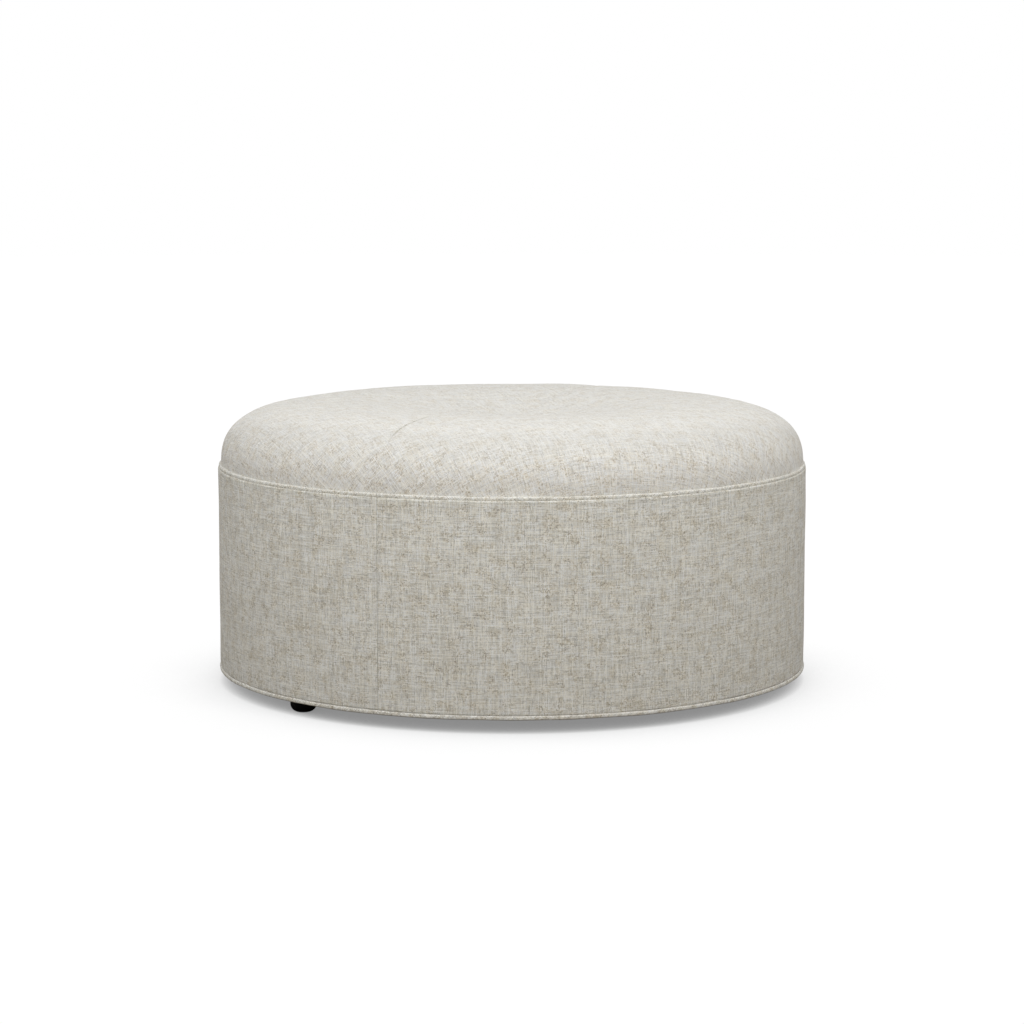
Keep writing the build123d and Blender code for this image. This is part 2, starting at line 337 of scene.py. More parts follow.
@dataclass(frozen=True)
class LinenWeave:
    """Heathered plain weave: long pale streaks, cream slubs and ochre flecks both ways."""

    name: str = "drum_linen"
    pitch: float = 0.00135
    weft_pitch: float = 0.00120
    wander: float = 0.0011
    wander_scale: float = 16.0
    drift_offset: tuple[float, float] = (3.1, 7.7)
    lane_step: float = 2.618
    weft_seed: float = 230.0
    shade: Colour = (0.582, 0.566, 0.506)
    pale: Colour = (0.952, 0.950, 0.904)
    cream: Colour = (0.990, 0.988, 0.948)
    ochre: Colour = (0.500, 0.425, 0.284)
    umber: Colour = (0.14, 0.112, 0.071)
    blush: Colour = (0.66, 0.577, 0.432)
    fuzz: Colour = (1.0, 0.995, 0.96)
    cool_dye: Colour = (0.988, 1.0, 1.022)
    warm_dye: Colour = (1.014, 1.0, 0.960)
    blush_share: float = 0.28
    slub_share: float = 0.8
    dash_share: float = 0.74
    speck_share: float = 0.72
    knot_share: float = 0.5
    # Painted shade in the gaps between the yarns.
    gap_shade_share: float = 0.42
    fuzz_share: float = 0.22
    cloud_share: float = 0.3
    least_warm: float = 0.3
    streak: float = 0.050
    slub: float = 0.038
    dye: float = 0.030
    dash: float = 0.0045
    knot: float = 0.013
    patch: float = 0.019
    fibre: float = 0.00016
    fibre_length: float = 0.0022
    tone_limits: Limits = (0.28, 0.72)
    slub_limits: Limits = (0.60, 0.70)
    dash_limits: Limits = (0.52, 0.66)
    speck_limits: Limits = (0.65, 0.75)
    knot_limits: Limits = (0.66, 0.74)
    dye_limits: Limits = (0.3, 0.7)
    fibre_limits: Limits = (0.25, 0.75)
    gap_limits: Limits = (0.05, 0.75)
    warm_limits: Limits = (0.42, 0.68)
    blush_limits: Limits = (0.42, 0.72)
    under_share: float = 0.45
    relief: float = 0.00016
    crown_relief: float = 0.75
    roughness: float = 0.88
    shine: float = 0.25
    sheen: float = 0.06
    sheen_roughness: float = 0.5
    # Painted tone on level, upward-facing cloth, where the light is brightest: the weave is evened
    # towards this colour.
    calm: Colour | None = None
    painted_top_share: float = 0.38
    painted_top_slope: Limits = (0.55, 0.98)
    # Painted shade on the shoulder that faces the front, and painted light on the steep wall.
    painted_shoulder_shade: float = 0.0
    shoulder_slope: Limits = (0.45, 0.88)
    level_slope: Limits = (0.955, 0.995)
    front: tuple[float, float] = (0.342, 0.940)
    front_limits: Limits = (0.02, 0.30)
    painted_wall_light: float = 0.0
    wall_slope: Limits = (0.20, 0.60)
    # Painted shade, darker towards the bottom up to the given height.
    painted_low_shade: float = 0.0
    painted_low_shade_height: float = 0.36
    # Painted shade in creases and seams, as a share of the shade mark.
    painted_fold_shade: float = 0.42
    # Painted shade on cloth that faces down.
    painted_underside_shade: float = 0.0
    under_slope: Limits = (0.15, 0.75)

    def _yarn(
        self, board: NodeBoard, across: Wire, along: Wire, pitch: float, seed: float
    ) -> Yarn:
        """Reads the yarn that runs through a point.

        Args:
            board: the material's nodes.
            across: place across the yarns, in metres.
            along: place along the yarns, in metres.
            pitch: distance between the yarns, in metres.
            seed: offset that keeps the two directions apart.

        Returns:
            The yarn at that point.
        """
        column = across / pitch
        lane = column.floor() * self.lane_step + seed
        tone, slub, dash, knot, dye = (
            board.noise(board.join(lane + offset, along / length), 1.0, detail, flat=True)
            for offset, length, detail in (
                (0.0, self.streak, 2.0),
                (41.3, self.slub, 0.0),
                (87.9, self.dash, 1.0),
                (133.7, self.knot, 1.0),
                (173.9, self.dye, 1.0),
            )
        )
        strands = board.join(across / self.fibre + seed, along / self.fibre_length)
        fibres = board.noise(strands, 1.0, 2.0, flat=True)
        return Yarn(
            tone=tone.between(*self.tone_limits),
            slub=slub.between(*self.slub_limits),
            dash=dash.between(*self.dash_limits),
            speck=dash.between(*self.speck_limits),
            knot=knot.between(*self.knot_limits),
            dye=dye.between(*self.dye_limits),
            fibres=fibres.between(*self.fibre_limits),
            crown=column.hump(),
        )

    def material(self) -> bpy.types.Material:
        """Builds the woven cloth on the cloth map.

        Returns:
            The finished material.
        """
        board = material_board(self.name)
        cloth = board.cloth()
        u, v, _ = board.split(cloth)
        apart = board.join(u + self.drift_offset[0], v + self.drift_offset[1])
        across = u + (board.noise(cloth, self.wander_scale, flat=True) - 0.5) * self.wander
        along = v + (board.noise(apart, self.wander_scale, flat=True) - 0.5) * self.wander
        warp = self._yarn(board, across, v, self.pitch, 0.0)
        weft = self._yarn(board, along, u, self.weft_pitch, self.weft_seed)
        over = ((across / self.pitch).floor() + (along / self.weft_pitch).floor()).odd()
        weft_seen = over * (1.0 - self.under_share) + self.under_share
        warp_seen = 1.0 + self.under_share - weft_seen
        weft_part = weft_seen / (1.0 + self.under_share)

        def strongest(of_warp: Wire, of_weft: Wire) -> Wire:
            """What the yarn that shows it most has."""
            return (of_warp * warp_seen).most(of_weft * weft_seen)

        def shared(of_warp: Wire, of_weft: Wire, weft_share: Wire) -> Wire:
            """What both yarns have together."""
            return of_weft * weft_share + of_warp * (1.0 - weft_share)

        patches = board.noise(cloth, 1.0 / self.patch, 2.0, flat=True)
        warm = patches.between(*self.warm_limits) * (1.0 - self.least_warm) + self.least_warm
        crown = shared(warp.crown, weft.crown, over)
        fibres = shared(warp.fibres, weft.fibres, over)
        # Painted shade at the edges of the yarns, where they dip into the gaps.
        yarn_gap_shade = 1.0 - crown.between(*self.gap_limits)
        layers = (
            (patches.between(*self.blush_limits) * self.blush_share, self.blush),
            (strongest(warp.slub, weft.slub) * self.slub_share, self.cream),
            (strongest(warp.dash, weft.dash) * warm * self.dash_share, self.ochre),
            (strongest(warp.speck, weft.speck) * warm * self.speck_share, self.umber),
            (strongest(warp.knot, weft.knot) * self.knot_share, self.umber),
            (yarn_gap_shade * self.gap_shade_share, self.umber),
            (fibres * self.fuzz_share, self.fuzz),
        )
        colour = board.blend(shared(warp.tone, weft.tone, weft_part), self.shade, self.pale)
        for share, layer in layers:
            colour = board.blend(share, colour, layer)
        clouds = board.noise(cloth, 1.0 / self.dye, flat=True)
        dye = shared(warp.dye, weft.dye, weft_part)
        dye = dye * (1.0 - self.cloud_share) + clouds * self.cloud_share
        tint = board.blend(dye.between(*self.dye_limits), self.cool_dye, self.warm_dye)
        colour = self._painted_shading(board, board.blend(1.0, colour, tint, "MULTIPLY"))
        height = crown * self.crown_relief + fibres * (1.0 - self.crown_relief)
        return board.finish(
            colour,
            self.roughness,
            board.bump(height, self.relief),
            Specular_IOR_Level=self.shine,
            Sheen_Weight=self.sheen,
            Sheen_Roughness=self.sheen_roughness,
        )

    def _painted_shading(self, board: NodeBoard, colour: Wire) -> Wire:
        """Painted light and shade on the cloth, by its slope, its height, and its creases and
        seams.

        Args:
            board: the material's nodes.
            colour: the woven colour.

        Returns:
            The toned colour.
        """
        east, north, slope = board.split(board.facing())
        # Painted light and shade on level tops: the weave is evened towards one colour.
        if self.calm is not None:
            level = slope.between(*self.painted_top_slope)
            colour = board.blend(level * self.painted_top_share, colour, self.calm)
        # Painted shade on the front shoulder and painted light on the steep wall below it.
        if self.painted_shoulder_shade or self.painted_wall_light:
            away = east * self.front[0] + north * self.front[1]
            front = (0.0 - away).between(*self.front_limits)
            shoulder = slope.between(*self.shoulder_slope)
            shaded_shoulder = shoulder * (1.0 - slope.between(*self.level_slope)) * front
            lit_wall = 1.0 - slope.between(*self.wall_slope)
            tone = 1.0 + lit_wall * self.painted_wall_light - shaded_shoulder * self.painted_shoulder_shade
            colour = board.blend(1.0, colour, board.join(tone, tone, tone), "MULTIPLY")
        # Painted shade, darker towards the bottom.
        if self.painted_low_shade:
            low = 1.0 - board.split(board.place())[2].between(0.0, self.painted_low_shade_height)
            colour = board.blend(low * self.painted_low_shade, colour, self.umber)
        # Painted shade in creases and seams, from the shade mark.
        colour = board.blend(board.mark(SHADE_MARK) * self.painted_fold_shade, colour, self.umber)
        # Painted shade on the undersides.
        if self.painted_underside_shade:
            under = (0.0 - slope).between(*self.under_slope)
            colour = board.blend(under * self.painted_underside_shade, colour, self.umber)
        return colour


@dataclass(frozen=True)
class Fibres:
    """Matted or spun fibres: wadding, cotton cord, twine or a nonwoven cloth."""

    name: str
    light: Colour
    dark: Colour
    scale: float
    depth: float
    roughness: float = 0.9
    shine: float = 0.2
    stretch: float = 3.0
    layer_offset: float = 5.0
    strand: float = 0.16
    embossed: float = 0.0
    dot_limits: Limits = (0.45, 0.8)
    dot_height: float = 0.6
    flat_dot_limits: Limits = (0.5, 0.8)
    dot_light: float = 0.5

    def material(self) -> bpy.types.Material:
        """Builds stretched strands in two directions, with embossed dots where asked.

        Returns:
            The finished material.
        """
        board = material_board(self.name)
        x, y, z = board.split(board.place())
        first = board.noise(board.join(x * self.stretch, y, z), self.scale, 3.0)
        second = board.join(x, y * self.stretch, z + self.layer_offset)
        height = (first - board.noise(second, self.scale, 3.0)).size().between(0.0, self.strand)
        colour = board.blend(height, self.light, self.dark)
        if self.embossed:
            dots = (x / self.embossed).hump() * (y / self.embossed).hump()
            raised = dots.between(*self.dot_limits) * self.dot_height
            height = height * (1.0 - self.dot_height) + raised
            pressed = dots.between(*self.flat_dot_limits) * self.dot_light
            colour = board.blend(pressed, colour, self.light)
        return board.finish(
            colour, self.roughness, board.bump(height, self.depth), Specular_IOR_Level=self.shine
        )


@dataclass(frozen=True)
class Foam:
    """Open-cell foam."""

    name: str = "seat_foam"
    light: Colour = (0.86, 0.80, 0.62)
    dark: Colour = (0.66, 0.58, 0.40)
    cells: float = 900.0
    wall_limits: Limits = (0.15, 0.6)
    wall_share: float = 0.6
    mottles: float = 60.0
    mottle_share: float = 0.25
    depth: float = 0.0005
    roughness: float = 0.92
    shine: float = 0.2

    def material(self) -> bpy.types.Material:
        """Builds small round cells with soft walls.

        Returns:
            The finished material.
        """
        board = material_board(self.name)
        place = board.place()
        cells = board.add("ShaderNodeTexVoronoi", None, {"Vector": place, "Scale": self.cells})
        walls = board.wire(cells).between(*self.wall_limits)
        mottles = board.noise(place, self.mottles, 2.0) * self.mottle_share
        colour = board.blend(walls * self.wall_share + mottles, self.dark, self.light)
        return board.finish(
            colour, self.roughness, board.bump(walls, self.depth), Specular_IOR_Level=self.shine
        )


class Grain(Enum):
    """Direction that a piece of timber's grain runs, as the pattern's scale on each axis."""

    ALONG_X = (0.045, 1.0, 1.0)
    ALONG_Z = (1.0, 1.0, 0.045)


@dataclass(frozen=True)
class Timber:
    """Planed softwood with growth rings, pores and a few darker streaks."""

    name: str
    grain: Grain
    light: Colour = (0.74, 0.57, 0.36)
    dark: Colour = (0.50, 0.33, 0.17)
    rings: float = 42.0
    ring_distortion: float = 7.0
    ring_limits: Limits = (0.15, 0.95)
    ring_bend: float = 9.0
    bend_scale: float = 9.0
    pores: float = 1500.0
    pore_limits: Limits = (0.35, 0.7)
    pore_share: float = 0.3
    depth: float = 0.00025
    roughness: float = 0.62

    def material(self) -> bpy.types.Material:
        """Builds rings that are stretched along the grain.

        Returns:
            The finished material.
        """
        board = material_board(self.name)
        place = zip(board.split(board.place()), self.grain.value)
        along = board.join(*(distance * scale for distance, scale in place))
        wave = board.add(
            "ShaderNodeTexWave",
            {"wave_type": "BANDS", "bands_direction": "DIAGONAL"},
            {
                "Vector": along,
                "Scale": self.rings,
                "Distortion": self.ring_distortion,
                "Detail": 2.0,
                "Phase Offset": board.noise(along, self.bend_scale, 2.0) * self.ring_bend,
            },
        )
        rings = board.wire(wave, 1)
        pores = board.noise(along, self.pores, 2.0)
        colour = board.blend(rings.between(*self.ring_limits), self.light, self.dark)
        open_pores = pores.between(*self.pore_limits) * self.pore_share
        colour = board.blend(open_pores, colour, self.dark)
        height = pores * 0.5 + rings * 0.5
        return board.finish(colour, self.roughness, board.bump(height, self.depth))


@dataclass(frozen=True)
class Plywood:
    """Birch plywood: figured faces, and stacked plies along the edge."""

    name: str
    bottom: float
    ply: float
    light: Colour = (0.76, 0.62, 0.43)
    dark: Colour = (0.52, 0.37, 0.22)
    figure: float = 34.0
    figure_stretch: float = 0.12
    figure_limits: Limits = (0.35, 0.68)
    grain: float = 900.0
    grain_stretch: float = 0.06
    grain_limits: Limits = (0.4, 0.7)
    grain_share: float = 0.25
    face_limits: Limits = (0.5, 0.8)
    depth: float = 0.0002
    roughness: float = 0.6

    def material(self) -> bpy.types.Material:
        """Builds the face figure and the edge stripes, chosen by the way the surface faces.

        Returns:
            The finished material.
        """
        board = material_board(self.name)
        x, y, z = board.split(board.place())
        figure = board.noise(board.join(x * self.figure_stretch, y), self.figure, 4.0)
        fine = board.noise(board.join(x * self.grain_stretch, y), self.grain, 2.0)
        face = board.blend(figure.between(*self.figure_limits), self.light, self.dark)
        layer = ((z - self.bottom) / self.ply).floor()
        edge = board.blend(layer.odd(), self.light, self.dark)
        level = board.split(board.facing())[2].size().between(*self.face_limits)
        colour = board.blend(level, edge, face)
        lines = fine.between(*self.grain_limits) * self.grain_share
        colour = board.blend(lines, colour, self.dark)
        return board.finish(colour, self.roughness, board.bump(fine, self.depth))


@dataclass(frozen=True)
class Hardboard:
    """Brown pressed fibre board with a smooth face."""

    name: str = "hardboard"
    light: Colour = (0.40, 0.26, 0.15)
    dark: Colour = (0.25, 0.15, 0.08)
    fibres: float = 420.0
    fibre_share: float = 0.6
    clouds: float = 18.0
    depth: float = 0.0001
    roughness: float = 0.42
    dry_roughness: float = 0.2
    dry_limits: Limits = (0.2, 0.8)

    def material(self) -> bpy.types.Material:
        """Builds fine fibre mottling.

        Returns:
            The finished material.
        """
        board = material_board(self.name)
        place = board.place()
        fibres = board.noise(place, self.fibres, 4.0)
        clouds = board.noise(place, self.clouds, 2.0)
        pale = fibres * self.fibre_share + clouds * (1.0 - self.fibre_share)
        colour = board.blend(pale, self.dark, self.light)
        roughness = fibres.between(*self.dry_limits) * self.dry_roughness + self.roughness
        return board.finish(colour, roughness, board.bump(fibres, self.depth))


@dataclass(frozen=True)
class MouldedPlastic:
    """Moulded plastic with a fine spark texture, and scuffs near the floor."""

    name: str
    colour: Colour
    scuff: Colour
    roughness: float = 0.42
    scuff_height: float = 0.0
    shine: float = 0.5
    sparks: float = 2200.0
    spark_roughness: float = 0.12
    smears: float = 130.0
    smear_limits: Limits = (0.52, 0.68)
    smear_share: float = 0.6
    smear_roughness: float = 0.2
    depth: float = 0.00008

    def material(self) -> bpy.types.Material:
        """Builds the fine texture and the scuffed lower rim.

        Returns:
            The finished material.
        """
        board = material_board(self.name)
        place = board.place()
        spark = board.noise(place, self.sparks, 2.0)
        worn = board.noise(place, self.smears, 3.0).between(*self.smear_limits)
        if self.scuff_height:
            worn = worn * (1.0 - board.split(place)[2].between(0.0, self.scuff_height))
        colour = board.blend(worn * self.smear_share, self.colour, self.scuff)
        unevenness = spark * self.spark_roughness + worn * self.smear_roughness
        roughness = unevenness + (self.roughness - self.spark_roughness * 0.5)
        return board.finish(
            colour, roughness, board.bump(spark, self.depth), Specular_IOR_Level=self.shine
        )


@dataclass(frozen=True)
class ZincSteel:
    """Zinc-plated steel of screws and staples."""

    name: str = "zinc_steel"
    light: Colour = (0.78, 0.77, 0.74)
    dark: Colour = (0.55, 0.54, 0.52)
    spangles: float = 700.0
    spangle_limits: Limits = (0.3, 0.7)
    depth: float = 0.00004
    roughness: float = 0.28
    spangle_roughness: float = 0.2

    def material(self) -> bpy.types.Material:
        """Builds spangled plating.

        Returns:
            The finished material.
        """
        board = material_board(self.name)
        spangle = board.noise(board.place(), self.spangles, 2.0)
        colour = board.blend(spangle.between(*self.spangle_limits), self.dark, self.light)
        roughness = spangle * self.spangle_roughness + self.roughness
        return board.finish(colour, roughness, board.bump(spangle, self.depth), Metallic=1.0)


class Finish(Enum):
    """Every finish of the object but the plywood's, which follows each board."""

    # Drum linen, with painted shade towards the bottom.
    LINEN = LinenWeave(painted_low_shade=0.12)
    # Upper piping's linen: its lit top evened and dimmed, a painted shade on the highlight.
    UPPER_LINEN = LinenWeave(
        "upper_linen", painted_low_shade=0.12, calm=(0.69, 0.683, 0.643), painted_top_share=0.55
    )
    # Lower piping's linen: its lit top evened towards one colour, and painted shade on its
    # underside.
    LOWER_LINEN = LinenWeave(
        "lower_linen", painted_low_shade=0.12, calm=(0.785, 0.775, 0.730), painted_top_share=0.55, painted_underside_shade=0.75
    )
    # The drum's weave again, toned for the brighter light on the seat: lower contrast and a
    # darker, cooler colour as painted shade, painted light on its top and wall, painted shade on
    # its front shoulder.
    SEAT_LINEN = LinenWeave(
        "seat_linen",
        shade=(0.602, 0.592, 0.554),
        pale=(0.824, 0.817, 0.790),
        cream=(0.892, 0.887, 0.860),
        ochre=(0.52, 0.437, 0.309),
        umber=(0.195, 0.152, 0.102),
        blush=(0.67, 0.599, 0.480),
        blush_share=0.24,
        calm=(0.752, 0.745, 0.712),
        painted_top_share=0.25,
        painted_shoulder_shade=0.075,
        painted_wall_light=0.07,
    )
    CORD = Fibres("cotton_cord", (0.86, 0.83, 0.76), (0.60, 0.56, 0.47), 700.0, 0.0003)
    WADDING = Fibres("white_wadding", (0.90, 0.90, 0.89), (0.70, 0.70, 0.69), 170.0, 0.0012)
    FOAM = Foam()
    HARDBOARD = Hardboard()
    UPRIGHT = Timber("softwood_upright", Grain.ALONG_Z)
    LYING = Timber("softwood_lying", Grain.ALONG_X)
    FOOT = MouldedPlastic(
        "black_foot_plastic",
        (0.003, 0.003, 0.003),
        (0.012, 0.012, 0.011),
        roughness=0.6,
        scuff_height=0.01,
        shine=0.06,
    )
    WASHER = MouldedPlastic("white_washer_plastic", (0.80, 0.80, 0.78), (0.68, 0.67, 0.64))
    DUST_CLOTH = Fibres(
        "black_dust_cloth",
        (0.030, 0.030, 0.033),
        (0.012, 0.012, 0.014),
        520.0,
        0.0002,
        roughness=0.78,
        embossed=0.0022,
    )
    TWINE = Fibres("waxed_twine", (0.82, 0.76, 0.62), (0.55, 0.48, 0.34), 1500.0, 0.0002, 0.6)
    THREAD = Fibres("sewing_thread", (0.84, 0.82, 0.76), (0.62, 0.60, 0.54), 2400.0, 0.0001, 0.6)
    STEEL = ZincSteel()


# Meshes


def ripple(x: np.ndarray, y: np.ndarray, length: float, seed: int) -> np.ndarray:
    """Smooth random height with a standard deviation of 1.

    Args:
        x: places along one direction, in metres.
        y: places along the other direction.
        length: size of the waves, in metres.
        seed: fixed seed of the waves.

    Returns:
        The height at each place.
    """
    waves = 14
    length_spread = (0.7, 1.5)
    draws = np.random.default_rng(seed)
    total = np.zeros(np.broadcast(x, y).shape)
    for _ in range(waves):
        heading, phase = draws.uniform(0.0, FULL_TURN, 2)
        turn = FULL_TURN / (length * draws.uniform(*length_spread))
        total = total + np.sin(turn * (x * math.cos(heading) + y * math.sin(heading)) + phase)
    return total * math.sqrt(2.0 / waves)


def bell(away: np.ndarray, width: float, power: int = 2) -> np.ndarray:
    """Falloff from 1 on a line, flatter on top and steeper with a higher power."""
    return np.exp(-((away / width) ** power))


def rounded(points: np.ndarray, rounds: int) -> np.ndarray:
    """Cuts the corners of an open line, again and again, and keeps its ends.

    Args:
        points: the line's points, one to a row.
        rounds: how many times they are cut.

    Returns:
        The rounder line.
    """
    for _ in range(rounds):
        first = points[:-1] * 0.75 + points[1:] * 0.25
        second = points[:-1] * 0.25 + points[1:] * 0.75
        cut = np.stack([first, second], 1).reshape(-1, points.shape[1])
        points = np.vstack([points[:1], cut, points[-1:]])
    return points


def travelled(line: np.ndarray) -> np.ndarray:
    """Distance along a line of points at each of them."""
    steps = np.linalg.norm(np.diff(line, axis=0), axis=1)
    return np.concatenate([[0.0], np.cumsum(steps)])


def line_normals(line: np.ndarray) -> np.ndarray:
    """Unit normals on the left of a section line, which face outwards on a clockwise one.

    Args:
        line: radii and heights of the section.

    Returns:
        One normal for each point of the line.
    """
    ahead = np.gradient(line, axis=0)
    normals = np.stack([-ahead[:, 1], ahead[:, 0]], 1)
    return normals / np.linalg.norm(normals, axis=1)[:, None]


def round_steps(count: int) -> np.ndarray:
    """Directions all the way round, in radians from +X."""
    return np.linspace(0.0, FULL_TURN, count, endpoint=False)


def swept(
    line: np.ndarray, angles: np.ndarray, lift: np.ndarray, normals: np.ndarray
) -> np.ndarray:
    """Turns a section line about Z, moved along its normals by a height at every point.

    Args:
        line: radii and heights of the section, in metres.
        angles: directions from +X, in radians.
        lift: distance along the normals, rows × columns.
        normals: unit normals of the section.

    Returns:
        Points, rows × columns × 3.
    """
    radius = line[:, :1] + normals[:, :1] * lift
    height = line[:, 1:] + normals[:, 1:] * lift
    return np.stack([radius * np.cos(angles), radius * np.sin(angles), height], -1)


def grid_cells(
    rows: int, columns: int, width: int, ring: bool, closed: bool = False
) -> tuple[np.ndarray, np.ndarray]:
    """Faces of a grid of points.

    Args:
        rows: points down the grid.
        columns: points along it.
        width: places along the cloth map, one more than the columns on a ring.
        ring: whether the last column joins the first.
        closed: whether the last row joins the first.

    Returns:
        Point numbers and cloth numbers of the cells, four to a cell.
    """
    k, m = np.meshgrid(
        np.arange(rows if closed else rows - 1),
        np.arange(columns if ring else columns - 1),
        indexing="ij",
    )
    corners = [(k, m), (k + 1, m), (k + 1, m + 1), (k, m + 1)]
    points = [(a % rows) * columns + b % columns for a, b in corners]
    places = [a * width + b for a, b in corners]
    return np.stack(points, -1).reshape(-1, 4), np.stack(places, -1).reshape(-1, 4)


def mesh_object(
    name: str,
    points: np.ndarray,
    faces: list[list[int]],
    cloth: np.ndarray,
    spots: list[list[int]],
    finish: bpy.types.Material,
) -> bpy.types.Object:
    """Makes a smooth-shaded mesh object at the origin.

    Args:
        name: name of the piece.
        points: its vertices, in metres.
        faces: vertex numbers of each face.
        cloth: places on the cut cloth.
        spots: numbers of those places for each face's corners.
        finish: its material.

    Returns:
        The new object.
    """
    mesh = bpy.data.meshes.new(name)
    mesh.from_pydata(points.tolist(), [], faces)
    layer = mesh.uv_layers.new(name=CLOTH_MAP)
    corners = np.concatenate([np.array(s) for s in spots])
    layer.uv.foreach_set("vector", cloth[corners].astype(np.float32).ravel())
    mesh.materials.append(finish)
    mesh.shade_smooth()
    mesh.validate()
    piece = bpy.data.objects.new(name, mesh)
    bpy.context.scene.collection.objects.link(piece)
    return piece


@dataclass
class Skin:
    """A sewn skin on one grid: sections run out and down, and columns run anticlockwise."""

    outer: np.ndarray
    inner: np.ndarray
    cloth: np.ndarray
    ring: bool = False
    pole: np.ndarray | None = None

    def _hem(self, edge: list[tuple[int, int]]) -> tuple[np.ndarray, np.ndarray]:
        """Cells that join the outer and inner faces along one edge of the grid.

        Args:
            edge: rows and columns of the edge's points, in order.

        Returns:
            Point numbers and cloth numbers of the cells, four to a cell.
        """
        rows, columns = self.outer.shape[:2]
        width = self.cloth.shape[1]
        point = np.array([k * columns + m % columns for k, m in edge])
        place = np.array([k * width + m for k, m in edge])
        under = point + rows * columns
        return (
            np.stack([point[:-1], point[1:], under[1:], under[:-1]], 1),
            np.stack([place[:-1], place[1:], place[1:], place[:-1]], 1),
        )

    def build(self, name: str, finish: bpy.types.Material) -> bpy.types.Object:
        """Makes the closed mesh with its cloth map.

        Args:
            name: name of the piece.
            finish: its material.

        Returns:
            The new object, at the origin.
        """
        rows, columns = self.outer.shape[:2]
        count = rows * columns
        cells, places = grid_cells(rows, columns, self.cloth.shape[1], self.ring)
        faces = [cells, cells[:, ::-1] + count]
        spots = [places, places[:, ::-1]]
        last = columns if self.ring else columns - 1
        edges = []
        if self.pole is None:
            edges.append([(0, m) for m in range(last + 1)])
        edges.append([(rows - 1, m) for m in range(last, -1, -1)])
        if not self.ring:
            edges.append([(k, 0) for k in range(rows - 1, -1, -1)])
            edges.append([(k, columns - 1) for k in range(rows)])
        for edge in edges:
            hem, hem_spots = self._hem(edge)
            faces.append(hem)
            spots.append(hem_spots)
        points = np.vstack([self.outer.reshape(-1, 3), self.inner.reshape(-1, 3)])
        cloth = self.cloth.reshape(-1, 2)
        face_list = np.vstack(faces).tolist()
        spot_list = np.vstack(spots).tolist()
        if self.pole is not None:
            points = np.vstack([points, self.pole])
            cloth = np.vstack([cloth, [[0.0, 0.0]]])
            centre, under, spot = 2 * count, 2 * count + 1, len(cloth) - 1
            for m in range(columns):
                after = (m + 1) % columns
                face_list += [[centre, m, after], [under, count + after, count + m]]
                spot_list += [[spot, m, m + 1], [spot, m + 1, m]]
        return mesh_object(name, points, face_list, cloth, spot_list, finish)


def round_cloth(along: np.ndarray, angles: np.ndarray) -> np.ndarray:
    """Cloth map of a round sheet, with its first column again at the end.

    Args:
        along: distance from the middle on the cloth, rows × 1.
        angles: directions from +X, in radians.

    Returns:
        Places on the cloth, rows × (columns + 1) × 2.
    """
    cloth = np.stack([along * np.cos(angles), along * np.sin(angles)], -1)
    return np.concatenate([cloth, cloth[:, :1]], 1)


def paint_shade_mark(piece: bpy.types.Object, painted_shade_share: np.ndarray) -> None:
    """Writes the painted shade of creases and seams at each point, which is 0 at the inner points.

    Args:
        piece: the piece, whose outer points come first.
        painted_shade_share: the share of painted shade at each outer point, from 0 to 1.
    """
    values = np.zeros(len(piece.data.vertices), np.float32)
    values[: painted_shade_share.size] = painted_shade_share.ravel()
    piece.data.attributes.new(SHADE_MARK, "FLOAT", "POINT").data.foreach_set("value", values)


def report(piece: bpy.types.Object) -> None:
    """Logs a finished piece."""
    log.info("%s: %d faces", piece.name, len(piece.data.polygons))


# Cushion


